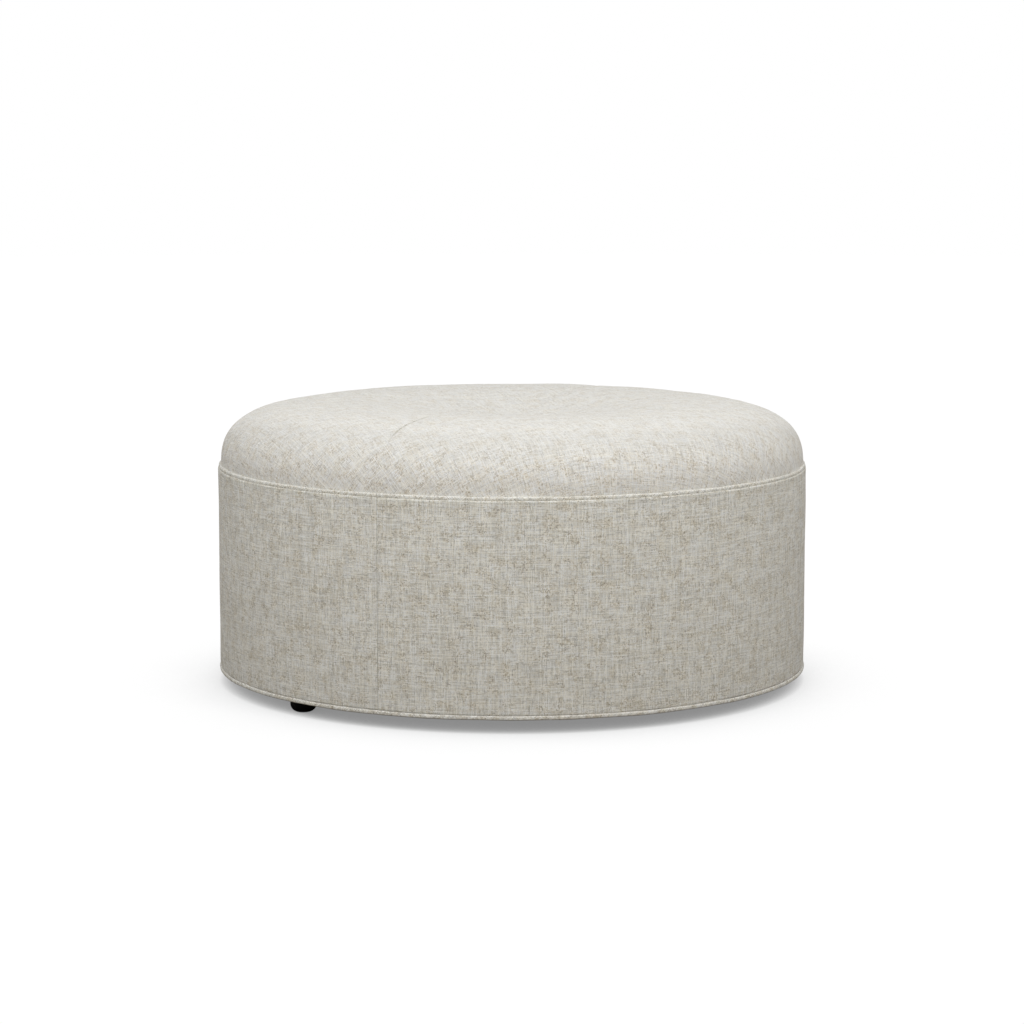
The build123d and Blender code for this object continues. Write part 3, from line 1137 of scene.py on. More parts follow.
@dataclass
class Crease:
    """A crease that the centre tie pulls from the dish out over the shoulder."""

    direction: float
    bend: float = 0.0
    crispness: float = 1.0
    soft_share: float = 0.17
    soft_width: float = 0.010
    sharp_share: float = 0.62
    sharp_width: float = 0.0011
    # Width and strength of the painted shade along the crease.
    painted_shade_width: float = 0.0011
    painted_shade_gain: float = 2.5
    lip: float = 0.0003
    lip_offset: float = 0.012
    lip_width: float = 0.008
    full_depth: float = 0.008
    same_side_cosine: float = 0.5
    reach_shares: tuple[float, ...] = (0.0, 0.14, 0.30, 0.55, 0.75, 0.90, 0.955, 0.99)
    depth_shares: tuple[float, ...] = (0.0, 0.0, 0.45, 1.0, 0.75, 0.35, 0.12, 0.0)
    crisp_reaches: tuple[float, ...] = (0.0, 0.44, 0.54, 0.60, 0.80, 0.86, 0.92, 0.955, 0.985)
    crisp_shares: tuple[float, ...] = (0.0, 0.10, 0.75, 1.0, 0.95, 0.60, 0.34, 0.20, 0.0)
    bend_start: float = 0.94
    bend_full: float = 0.58
    bend_width: float = 0.30

    def _away(self, angle: np.ndarray) -> np.ndarray:
        """Angle from the crease, from -180 to 180 degrees, in radians."""
        return (angle - self.direction + math.pi) % FULL_TURN - math.pi

    def shift(self, reach: np.ndarray, angle: np.ndarray) -> np.ndarray:
        """Turn of the grid that bends the crease sideways.

        Args:
            reach: distance from the middle as a share of the cushion's radius.
            angle: direction before the bend, in radians.

        Returns:
            Turn at each place, in radians.
        """
        share = np.clip((self.bend_start - reach) / (self.bend_start - self.bend_full), 0, 1)
        return self.bend * share * bell(self._away(angle), self.bend_width)

    def fold(
        self, radius: np.ndarray, reach: np.ndarray, angle: np.ndarray
    ) -> tuple[np.ndarray, np.ndarray]:
        """Form of the crease and the painted shade along its pinched fold.

        Args:
            radius: distance from the middle, in metres.
            reach: the same as a share of the cushion's radius.
            angle: direction before the bend, in radians.

        Returns:
            Depth below the crown, in metres, with raised lips as negative depth, and the
            share of painted shade at each place, from 0 to 1.
        """
        turn = self._away(angle)
        same_side = np.cos(turn) > self.same_side_cosine
        side = np.where(same_side, np.abs(radius * np.sin(turn)), 1.0)
        share = np.interp(reach, self.reach_shares, self.depth_shares)
        crisp = np.interp(reach, self.crisp_reaches, self.crisp_shares) * self.crispness
        room = self.full_depth * share
        soft = self.soft_share * room * bell(side, self.soft_width)
        sharp = self.sharp_share * room * crisp * bell(side, self.sharp_width, 4)
        lips = self.lip * share * bell(side - self.lip_offset, self.lip_width)
        # Painted shade along the crease, darkest where it is crispest.
        dark = np.minimum(share * self.painted_shade_gain, 1.0) * crisp * bell(side, self.painted_shade_width, 4)
        return soft + sharp - lips, dark


@dataclass
class Cushion:
    """Sewn cushion cover: rounded shoulder, crest, shallow dish and four creases."""

    radius: float
    top: float
    piping_height: float
    shoulder_width: float = 0.2226
    shoulder_points: int = 6000
    shoulder_crowding: int = 3
    dish_margin: float = 0.028
    dish_depth: float = 0.027
    dish_turn_share: float = 0.4
    dish_points: int = 1500
    shoulder_power: float = 0.588
    crest_power: float = 0.706
    sunk_edge: float = 0.0024
    thickness: float = 0.001
    spacing: float = 0.0042
    crease_reference: float = 0.30
    crease_steps: tuple[float, ...] = (
        0.0, 0.0004, 0.0008, 0.0012, 0.0016, 0.0021, 0.0028, 0.004, 0.0056, 0.0076, 0.010, 0.013,
        0.017, 0.022, 0.028, 0.035, 0.043,
    )
    plain_columns: int = 17
    swell: float = 0.00035
    swell_length: float = 0.16
    swell_seed: int = 11
    wrinkle: float = 0.00010
    wrinkle_length: float = 0.035
    wrinkle_seed: int = 12
    pucker: float = 0.00030
    pucker_length: float = 0.021
    pucker_stretch: float = 0.25
    pucker_seed: int = 13
    pucker_reach: float = 0.018
    sewn_reach: float = 0.004
    trim_heights: tuple[float, ...] = (0.0, 0.016, 0.031, 0.044, 0.057, 0.069, 0.078, 0.088)
    trim: tuple[float, ...] = (-0.0003, -0.0003, -0.0004, -0.0003, 0.0, 0.0004, 0.0005, 0.0)
    hem_flare: float = 0.0001
    hem_reach: float = 0.0024
    hem_rows: tuple[float, ...] = (0.0003, 0.0010, 0.0022)
    creases: tuple[Crease, ...] = (
        Crease(math.radians(45.0), math.radians(1.4), 0.5),
        Crease(math.radians(135.0), math.radians(-1.8), 0.6),
        Crease(math.radians(225.0), math.radians(-3.2), 1.0),
        Crease(math.radians(315.0), math.radians(1.2), 0.55),
    )

    def _shoulder(self) -> np.ndarray:
        """Section of the shoulder, from the rim of the dish out to the piping.

        Returns:
            Radii and heights, in metres.
        """
        rise = self.top - self.piping_height
        last = math.acos((self.dish_margin / self.shoulder_width) ** (1.0 / self.shoulder_power))
        first = math.asin((self.sunk_edge / rise) ** (1.0 / self.crest_power))
        shares = np.linspace(1.0, 0.0, self.shoulder_points) ** self.shoulder_crowding
        turn = first + (last - first) * shares
        crest = self.radius - self.shoulder_width
        radius = crest + self.shoulder_width * np.cos(turn) ** self.shoulder_power
        height = self.piping_height + rise * np.sin(turn) ** self.crest_power
        return np.stack([radius, height], 1)

    def _dish(self, rim: float) -> np.ndarray:
        """Section of the dish: a bowl and a brow, as two arcs that run into each other.

        Args:
            rim: height of its rim.

        Returns:
            Radii and heights, in metres.
        """
        reach = self.radius - self.shoulder_width + self.dish_margin
        radius = np.linspace(0.0, reach, self.dish_points)[:-1]
        arcs = []
        for share in (self.dish_turn_share, 1.0 - self.dish_turn_share):
            width, drop = reach * share, self.dish_depth * share
            arcs.append((width**2 + drop**2) / (2.0 * drop))
        brow, bowl = arcs
        height = np.where(
            radius > reach * (1.0 - self.dish_turn_share),
            rim - brow + np.sqrt(np.maximum(brow**2 - (reach - radius) ** 2, 0.0)),
            rim - self.dish_depth + bowl - np.sqrt(np.maximum(bowl**2 - radius**2, 0.0)),
        )
        return np.stack([radius, height], 1)

    def outline(self) -> np.ndarray:
        """Section of the crown from the middle out to the piping, with points evenly spaced.

        Returns:
            Radii and heights, in metres.
        """
        shoulder = self._shoulder()
        line = np.vstack([self._dish(shoulder[0, 1]), shoulder])
        along = travelled(line)
        stops = np.linspace(0.0, along[-1], round(along[-1] / self.spacing) + 1)
        stops = np.sort(np.concatenate([stops, along[-1] - np.array(self.hem_rows)]))
        return np.stack([np.interp(stops, along, line[:, axis]) for axis in (0, 1)], 1)

    def columns(self) -> np.ndarray:
        """Directions of the grid's columns, closer together beside each crease.

        Returns:
            Directions from +X before the creases bend, in radians.
        """
        near = np.array(self.crease_steps) / self.crease_reference
        half = np.linspace(near[-1], math.radians(RIGHT_ANGLE / 2.0), self.plain_columns)[1:]
        side = np.concatenate([near, half])
        both = np.concatenate([-side[:0:-1], side])[1:]
        return np.concatenate([both + crease.direction for crease in self.creases])

    def _lift(self, line: np.ndarray, angles: np.ndarray) -> np.ndarray:
        """Soft unevenness of the cover, as a distance along its normals.

        Args:
            line: radii and heights of the section.
            angles: direction of every point, in radians.

        Returns:
            Swells, wrinkles, puckers beside the piping, trim and flared hem, in metres.
        """
        radius, along = line[:, :1], travelled(line)
        from_edge = (along[-1] - along)[:, None]
        x, y = radius * np.cos(angles), radius * np.sin(angles)
        swells = self.swell * ripple(x, y, self.swell_length, self.swell_seed)
        wrinkles = self.wrinkle * ripple(x, y, self.wrinkle_length, self.wrinkle_seed)
        puckers = ripple(
            angles * self.radius,
            from_edge * self.pucker_stretch,
            self.pucker_length,
            self.pucker_seed,
        )
        puckers = self.pucker * (puckers * np.exp(-from_edge / self.pucker_reach))
        lift = (swells + wrinkles + puckers) * np.minimum(1.0, from_edge / self.sewn_reach)
        above = line[:, 1:] - self.piping_height
        shoulder = np.where(radius > self.radius - self.shoulder_width, 1.0, 0.0)
        lift = lift + shoulder * np.interp(above, self.trim_heights, self.trim)
        return lift + self.hem_flare * bell(from_edge, self.hem_reach)

    def build(self, finish: bpy.types.Material) -> bpy.types.Object:
        """Builds the cover as one padded skin.

        Args:
            finish: the cloth.

        Returns:
            The cover.
        """
        line = self.outline()
        radius = line[:, :1]
        reach = radius / self.radius
        straight = self.columns()
        angles = straight + sum(crease.shift(reach, straight) for crease in self.creases)
        lift = self._lift(line, angles)
        painted_shade_share = np.zeros_like(lift)
        for crease in self.creases:
            depth, dark = crease.fold(radius, reach, straight)
            lift = lift - depth
            painted_shade_share = painted_shade_share + dark
        normals = line_normals(line)
        outer = swept(line, angles, lift, normals)
        inner = swept(line, angles, lift - self.thickness, normals)
        cloth = round_cloth(travelled(line)[:, None], angles)
        pole = np.array([[0.0, 0.0, outer[0, :, 2].mean()], [0.0, 0.0, inner[0, :, 2].mean()]])
        skin = Skin(outer[1:], inner[1:], cloth[1:], ring=True, pole=pole)
        cover = skin.build("top_cushion_cover", finish)
        paint_shade_mark(cover, painted_shade_share[1:])
        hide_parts("cushion_cover")
        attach(cover, ROOT)
        return cover


# Drum cover


class Side(Enum):
    """Quarters of the drum, by the direction of their middle in degrees from +X."""

    FRONT = 270.0
    RIGHT = 0.0
    BACK = 90.0
    LEFT = 180.0


@dataclass
class DrumPanel:
    """A quarter of the drum's cover, turned in at its two seams and under the piping."""

    side: Side
    radius: float
    bottom: float
    top: float
    thickness: float = 0.00075
    spacing: float = 0.0085
    seam_steps: tuple[float, ...] = (
        0.00002, 0.0002, 0.00045, 0.0008, 0.0012, 0.0018, 0.0026, 0.0038, 0.0055, 0.0078, 0.011,
        0.015, 0.021,
    )
    seam_depth: float = 0.0009
    seam_edge: float = 0.0005
    # Painted shade in the seam's gap, and its width.
    seam_shade: float = 0.6
    seam_shade_width: float = 0.0006
    seam_pull: float = 0.00028
    seam_pull_width: float = 0.0055
    pucker: float = 0.00012
    pucker_spacing: float = 0.011
    swell: float = 0.00022
    swell_length: float = 0.12
    swell_seed: int = 21
    sewn_reach: float = 0.012
    cloth_step: tuple[float, float] = (1.37, 0.61)
    edge_rounds: int = 2
    rolled_edge: tuple[tuple[float, float], ...] = (
        (-3.0, 0.1), (-2.0, 0.4), (-1.1, 0.45), (-0.5, 0.2), (-0.1, -0.45), (0.1, -1.3),
        (0.2, -2.3), (0.2, -3.4), (0.15, -4.6), (0.08, -5.9), (0.0, -7.2), (0.0, -9.0),
    )
    tucked_foot: tuple[tuple[float, float], ...] = (
        (0.0, 8.0), (0.0, 5.0), (0.0, 3.2), (-0.1, 1.7), (-0.5, 0.6), (-1.4, 0.05),
    )

    def section(self) -> np.ndarray:
        """Section from under the upper piping down to the lower one.

        Returns:
            Radii and heights, in metres.
        """
        head = np.array(self.rolled_edge) * MILLIMETRE + [self.radius, self.top]
        foot = np.array(self.tucked_foot) * MILLIMETRE + [self.radius, self.bottom]
        count = round((head[-1, 1] - foot[0, 1]) / self.spacing)
        heights = np.linspace(head[-1, 1], foot[0, 1], count + 1)[1:-1]
        wall = np.stack([np.full(count - 1, self.radius), heights], 1)
        return np.vstack([rounded(head, self.edge_rounds), wall, rounded(foot, self.edge_rounds)])

    def columns(self, width: float) -> np.ndarray:
        """Places of the grid's columns, closer together at both seams.

        Args:
            width: distance from seam to seam, in metres.

        Returns:
            Distances from the first seam, in metres.
        """
        near = np.array(self.seam_steps)
        count = round((width - 2.0 * near[-1]) / self.spacing)
        plain = np.linspace(near[-1], width - near[-1], count + 1)[1:-1]
        return np.concatenate([near, plain, width - near[::-1]])

    def _lift(self, height: np.ndarray, arc: np.ndarray, to_seam: np.ndarray) -> np.ndarray:
        """Soft unevenness of the panel, as a distance along its normals.

        Args:
            height: height of every row, in metres.
            arc: place of every column round the drum.
            to_seam: distance of every column from the nearer seam.

        Returns:
            Swells, the seam's pull and puckers, and its groove, in metres.
        """
        swells = self.swell * ripple(arc, height, self.swell_length, self.swell_seed)
        from_edge = np.minimum(self.top - height, height - self.bottom)
        calm = np.maximum(np.minimum(1.0, from_edge / self.sewn_reach), 0.0)
        stitch = 0.5 + 0.5 * np.cos(FULL_TURN * height / self.pucker_spacing)
        beside = bell(to_seam, self.seam_pull_width)
        lift = swells * calm - self.seam_pull * beside - self.pucker * beside * stitch
        return lift - self.seam_depth * np.exp(-to_seam / self.seam_edge)

    def build(self, finish: bpy.types.Material) -> bpy.types.Object:
        """Builds the panel as a stretched sheet.

        Args:
            finish: the cloth.

        Returns:
            The panel.
        """
        line = self.section()
        normals = line_normals(line)
        down = travelled(line)
        width = self.radius * math.pi / 2.0
        across = self.columns(width)
        start = math.radians(self.side.value - RIGHT_ANGLE / 2.0)
        angles = start + across / self.radius
        to_seam = np.minimum(across, width - across)
        lift = self._lift(line[:, 1:], across + start * self.radius, to_seam)
        outer = swept(line, angles, lift, normals)
        inner = swept(line, angles, lift - self.thickness, normals)
        quarter = self.side.value / RIGHT_ANGLE
        along, fall = self.cloth_step[0] * quarter, self.cloth_step[1] * quarter
        cloth = np.stack(np.broadcast_arrays(across + along, fall - down[:, None]), -1)
        name = self.side.name.lower()
        panel = Skin(outer, inner, cloth).build(f"drum_panel_{name}", finish)
        # Painted shade along the seams.
        gap = self.seam_shade * bell(to_seam, self.seam_shade_width)
        paint_shade_mark(panel, np.broadcast_to(gap, outer.shape[:2]))
        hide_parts(f"drum_cover_{name}")
        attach(panel, ROOT)
        return panel


# Piping


class Edge(Enum):
    """The two edges of the drum that carry piping."""

    UPPER = "upper"
    LOWER = "lower"


@dataclass
class Piping:
    """Bias-cut strip sewn round a cord, with its flange turned inwards."""

    edge: Edge
    ring_radius: float
    height: float
    flange_middle: float
    radius: float = 0.003
    bore: float = 0.002
    flange_width: float = 0.022
    flange_half: float = 0.0005
    flange_points: int = 4
    flange_start: float = 0.003
    stitch_inset: float = 0.0055
    spacing: float = 0.0045
    turns: int = 26
    bore_turns: int = 10
    fullness: float = 3.8
    upper_fullness: float = 2.3
    pressed: float = 0.06
    upper_face: float = 0.80
    droop: float = 1.12
    waver: float = 0.00016
    waver_length: float = 0.09
    plump: float = 0.00008
    plump_length: float = 0.03
    pucker: float = 0.00010
    pucker_length: float = 0.012
    pucker_limit: float = 0.4
    upper_seed: int = 31
    lower_seed: int = 37
    cloth_offset: float = 2.3

    def section(self) -> np.ndarray:
        """Closed section line, clockwise from the flange's upper root.

        Returns:
            Radii and heights, in metres.
        """
        shift = self.flange_middle - self.height
        upper = math.pi - math.asin((shift + self.flange_half) / self.radius)
        lower = -math.pi - math.asin((shift - self.flange_half) / self.radius)
        sweep = np.linspace(upper, lower, self.turns)
        tube = np.stack([np.cos(sweep), np.sin(sweep)], 1)
        power = np.where(tube[:, 1:] < 0.0, self.fullness, self.upper_fullness)
        girth = (np.abs(tube) ** power).sum(1, keepdims=True) ** (1.0 / power)
        tube = tube / np.where(tube[:, :1] > 0.0, girth, 1.0) * self.radius
        outside = tube[:, 0] > 0.0
        if self.edge is Edge.UPPER:
            tube[:, 1] *= np.where(tube[:, 1] > 0.0, 1.0 - self.pressed, 1.0)
            tube[:, 0] *= np.where(outside, self.upper_face, 1.0)
        else:
            tube[:, 1] *= np.where((tube[:, 1] < 0.0) & outside, self.droop, 1.0)
        root = self.ring_radius - self.radius - self.flange_start
        inward = np.linspace(root, self.ring_radius - self.flange_width, self.flange_points)
        low = np.full(self.flange_points, self.flange_middle - self.flange_half)
        high = np.full(self.flange_points, self.flange_middle + self.flange_half)
        tube = tube + [self.ring_radius, self.height]
        return np.vstack([tube, np.stack([inward, low], 1), np.stack([inward[::-1], high], 1)])

    def _on_tube(self, line: np.ndarray) -> np.ndarray:
        """1 at the section's points on the tube and 0 on its flange, rows × 1."""
        return np.where(np.arange(len(line))[:, None] < self.turns, 1.0, 0.0)

    def _shell(
        self, line: np.ndarray, angles: np.ndarray, plump: np.ndarray, puckers: np.ndarray
    ) -> np.ndarray:
        """Outside of the strip, before it wavers up and down.

        Args:
            line: radii and heights of the section.
            angles: directions from +X, in radians.
            plump: how far the tube swells in each direction, in metres.
            puckers: how far the seam under it draws it in, in metres.

        Returns:
            Points, rows × columns × 3.
        """
        tube = self._on_tube(line)
        under = np.where(np.arange(len(line))[:, None] < self.turns // 2, 0.0, tube)
        normals = line_normals(np.vstack([line[-1:], line, line[:1]]))[1:-1]
        return swept(line, angles, tube * plump - under * puckers, normals)

    def _bore(self, angles: np.ndarray) -> np.ndarray:
        """Hollow for the cord, before it wavers up and down.

        Args:
            angles: directions from +X, in radians.

        Returns:
            Points, rows × columns × 3.
        """
        sweep = -round_steps(self.bore_turns)
        hollow = np.stack([np.cos(sweep), np.sin(sweep)], 1) * self.bore
        hollow = hollow + [self.ring_radius, self.height]
        return swept(hollow, angles, np.zeros((1, len(angles))), np.zeros_like(hollow))

    def _cloth(self, line: np.ndarray, angles: np.ndarray) -> np.ndarray:
        """Cloth map of the strip, which is cut on the bias.

        Args:
            line: radii and heights of the section.
            angles: directions from +X, in radians.

        Returns:
            Places on the cloth, (rows + 1) × (columns + 1) × 2.
        """
        bias = math.sqrt(0.5)
        around = np.append(angles, FULL_TURN) * self.ring_radius
        down = travelled(np.vstack([line, line[:1]]))[:, None]
        along, across = np.broadcast_arrays(around, down)
        places = [(along + across) * bias, (along - across) * bias + self.cloth_offset]
        return np.stack(places, -1)

    def build(self, finish: bpy.types.Material) -> bpy.types.Object:
        """Builds the strip with the hollow for its cord.

        Args:
            finish: the cloth.

        Returns:
            The piping.
        """
        seed = self.upper_seed if self.edge is Edge.UPPER else self.lower_seed
        angles = round_steps(round(FULL_TURN * self.ring_radius / self.spacing))
        x, y = np.cos(angles) * self.ring_radius, np.sin(angles) * self.ring_radius
        rise = self.waver * ripple(x, y, self.waver_length, seed)
        plump = self.plump * ripple(x, y, self.plump_length, seed + 1)
        puckers = ripple(x, y, self.pucker_length, seed + 2) - self.pucker_limit
        line = self.section()
        outer = self._shell(line, angles, plump, self.pucker * np.maximum(puckers, 0.0))
        outer[:, :, 2] += rise * self._on_tube(line)
        inside = self._bore(angles)
        inside[:, :, 2] += rise
        cloth = self._cloth(line, angles)
        lining = np.broadcast_to(cloth[:1], (self.bore_turns + 1, *cloth.shape[1:]))
        cells, spots = grid_cells(*outer.shape[:2], cloth.shape[1], True, closed=True)
        bore_cells, bore_spots = grid_cells(*inside.shape[:2], cloth.shape[1], True, closed=True)
        bore_cells, bore_spots = bore_cells[:, ::-1], bore_spots[:, ::-1]
        name = self.edge.value
        strip = mesh_object(
            f"{name}_piping",
            np.vstack([outer.reshape(-1, 3), inside.reshape(-1, 3)]),
            np.vstack([cells, bore_cells + outer[..., 0].size]).tolist(),
            np.vstack([cloth.reshape(-1, 2), lining.reshape(-1, 2)]),
            np.vstack([spots, bore_spots + cloth[..., 0].size]).tolist(),
            finish,
        )
        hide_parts(f"{name}_welt")
        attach(strip, ROOT)
        return strip


@dataclass
class StitchRow:
    """Row of lockstitches round the object, made with geometry nodes."""

    name: str
    radius: float
    height: float
    pitch: float = 0.0046
    stitch_length: float = 0.0034
    stitch_width: float = 0.0006
    circle_points: int = 256
    bead_segments: int = 6
    bead_rings: int = 4

    def _tree(self) -> bpy.types.GeometryNodeTree:
        """Node tree with named inputs for the row's sizes and thread.

        Returns:
            The new tree.
        """
        tree = bpy.data.node_groups.new("stitch_row", "GeometryNodeTree")
        face = tree.interface
        face.new_socket("Geometry", in_out="OUTPUT", socket_type="NodeSocketGeometry")
        face.new_socket("Geometry", in_out="INPUT", socket_type="NodeSocketGeometry")
        for name in ("Row radius", "Row height", "Stitch length", "Stitch width"):
            face.new_socket(name, in_out="INPUT", socket_type="NodeSocketFloat")
        face.new_socket("Stitch count", in_out="INPUT", socket_type="NodeSocketInt")
        face.new_socket("Thread", in_out="INPUT", socket_type="NodeSocketMaterial")
        board = NodeBoard(tree)
        given = board.add("NodeGroupInput").outputs
        circle = board.add(
            "GeometryNodeCurvePrimitiveCircle",
            None,
            {"Resolution": self.circle_points, "Radius": given["Row radius"]},
        )
        points = board.add(
            "GeometryNodeCurveToPoints",
            {"mode": "COUNT"},
            {"Curve": circle.outputs["Curve"], "Count": given["Stitch count"]},
        )
        bead = board.add(
            "GeometryNodeMeshUVSphere",
            None,
            {"Segments": self.bead_segments, "Rings": self.bead_rings, "Radius": 0.5},
        )
        width = given["Stitch width"]
        copies = board.add(
            "GeometryNodeInstanceOnPoints",
            None,
            {
                "Points": points.outputs["Points"],
                "Rotation": points.outputs["Rotation"],
                "Instance": bead.outputs["Mesh"],
                "Scale": board.join(width, width, given["Stitch length"]),
            },
        )
        lifted = board.add(
            "GeometryNodeTransform",
            None,
            {
                "Geometry": copies.outputs["Instances"],
                "Translation": board.join(z=given["Row height"]),
            },
        )
        real = board.add("GeometryNodeRealizeInstances", None, {0: lifted.outputs["Geometry"]})
        dressed = board.add(
            "GeometryNodeSetMaterial",
            None,
            {"Geometry": real.outputs["Geometry"], "Material": given["Thread"]},
        )
        board.add("NodeGroupOutput", None, {0: dressed.outputs["Geometry"]})
        return tree

    def build(self, thread: bpy.types.Material) -> bpy.types.Object:
        """Builds the row as a plain mesh.

        Args:
            thread: the thread's material.

        Returns:
            The stitches, as one piece.
        """
        tree = self._tree()
        holder = bpy.data.objects.new("stitch_holder", bpy.data.meshes.new("stitch_holder"))
        bpy.context.scene.collection.objects.link(holder)
        row = holder.modifiers.new("row", "NODES")
        row.node_group = tree
        values = {
            "Row radius": self.radius,
            "Row height": self.height,
            "Stitch length": self.stitch_length,
            "Stitch width": self.stitch_width,
            "Stitch count": round(FULL_TURN * self.radius / self.pitch),
            "Thread": thread,
        }
        for item in tree.interface.items_tree:
            if item.in_out == "INPUT" and item.name in values:
                row[item.identifier] = values[item.name]
        made = holder.evaluated_get(bpy.context.evaluated_depsgraph_get())
        mesh = bpy.data.meshes.new_from_object(made)
        mesh.name = self.name
        mesh.shade_smooth()
        bpy.data.objects.remove(holder)
        stitches = bpy.data.objects.new(self.name, mesh)
        bpy.context.scene.collection.objects.link(stitches)
        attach(stitches, ROOT)
        return stitches


# Underside


@dataclass
class DustCover:
    """Nonwoven cloth stapled under the base, with a slight sag and pulls at its staples."""

    radius: float
    top: float
    thickness: float = 0.0005
    sag: float = 0.0012
    swell_share: float = 0.25
    swell_length: float = 0.2
    swell_seed: int = 41
    staple_count: int = 32
    staple_pull: float = 0.0003
    staple_reach: float = 0.03
    rings: int = 46
    columns: int = 256
    foot_flat: float = 0.03
    foot_ease: float = 0.05

    def _drop(self, x: np.ndarray, y: np.ndarray, feet: list[tuple[float, float]]) -> np.ndarray:
        """Distance that the cloth hangs below the board.

        Args:
            x: places of the points, in metres.
            y: places along the other direction.
            feet: plan places of the feet, which hold the cloth flat.

        Returns:
            The distance at each point, in metres.
        """
        radius, angle = np.hypot(x, y), np.arctan2(y, x)
        held = np.ones_like(x)
        for foot_x, foot_y in feet:
            away = np.hypot(x - foot_x, y - foot_y)
            held = held * np.clip((away - self.foot_flat) / self.foot_ease, 0.0, 1.0)
        swells = 1.0 + self.swell_share * ripple(x, y, self.swell_length, self.swell_seed)
        sag = self.sag * (1.0 - (radius / self.radius) ** 2) * swells
        between_staples = 0.5 - 0.5 * np.cos(self.staple_count * angle)
        pull = between_staples * np.exp(-(self.radius - radius) / self.staple_reach)
        return (sag + self.staple_pull * pull) * held

    def build(
        self, finish: bpy.types.Material, feet: list[tuple[float, float]]
    ) -> bpy.types.Object:
        """Builds the cloth as a stretched sheet.

        Args:
            finish: the cloth.
            feet: plan places of the feet.

        Returns:
            The dust cover.
        """
        radius = np.linspace(0.0, self.radius, self.rings + 1)[1:][:, None]
        angles = round_steps(self.columns)
        x, y = radius * np.cos(angles), radius * np.sin(angles)
        upper = self.top - self._drop(x, y, feet)
        outer = np.stack([x, y, upper], -1)
        inner = np.stack([x, y, upper - self.thickness], -1)
        middle_height = upper[0].mean()
        pole = np.array([[0.0, 0.0, middle_height], [0.0, 0.0, middle_height - self.thickness]])
        skin = Skin(outer, inner, round_cloth(radius, angles), ring=True, pole=pole)
        sheet = skin.build("under_dust_cover", finish)
        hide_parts("dust_cover")
        width = 2.0 * self.radius
        math.pi * self.radius**2
        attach(sheet, ROOT)
        return sheet


# Frame


@dataclass
class Carcass:
    """The carried-over solids: boards, posts, rails, padding, feet and fixings."""

    nodes: dict[str, bpy.types.Object]
    boards: tuple[str, ...] = ("deck_board", "base_board")
    board_plies: int = 9
    choices: tuple[tuple[str, str, Finish], ...] = (
        ("", "_cord", Finish.CORD),
        ("crown_wadding", "", Finish.WADDING),
        ("side_padding", "", Finish.WADDING),
        ("seat_foam", "", Finish.FOAM),
        ("side_panel_left", "", Finish.HARDBOARD),
        ("side_panel_right", "", Finish.HARDBOARD),
        ("post_", "", Finish.UPRIGHT),
        ("", "_rail", Finish.LYING),
        ("", "_batten", Finish.LYING),
        ("", "screws", Finish.STEEL),
        ("", "staples", Finish.STEEL),
        ("foot_", "", Finish.FOOT),
        ("dust_cover", "", Finish.DUST_CLOTH),
        ("tie_twine", "", Finish.TWINE),
        ("tie_washer", "", Finish.WASHER),
        ("", "", Finish.LINEN),
    )

    def _plywood(self, name: str) -> bpy.types.Material:
        """Plywood whose plies share out one board's thickness."""
        low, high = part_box(name)
        return Plywood(f"plywood_{name}", low.z, (high.z - low.z) / self.board_plies).material()

    def dress(self, finishes: dict[Finish, bpy.types.Material]) -> None:
        """Gives every solid its finish, by the first start and end that its name has.

        Args:
            finishes: the object's finishes.
        """
        for name, solid in self.nodes.items():
            if name in self.boards:
                made = self._plywood(name)
            else:
                made = next(
                    finishes[finish]
                    for start, end, finish in self.choices
                    if name.startswith(start) and name.endswith(end)
                )
            solid.data.materials.clear()
            solid.data.materials.append(made)
        log.info("frame: %d solids dressed", len(self.nodes))


# Studio


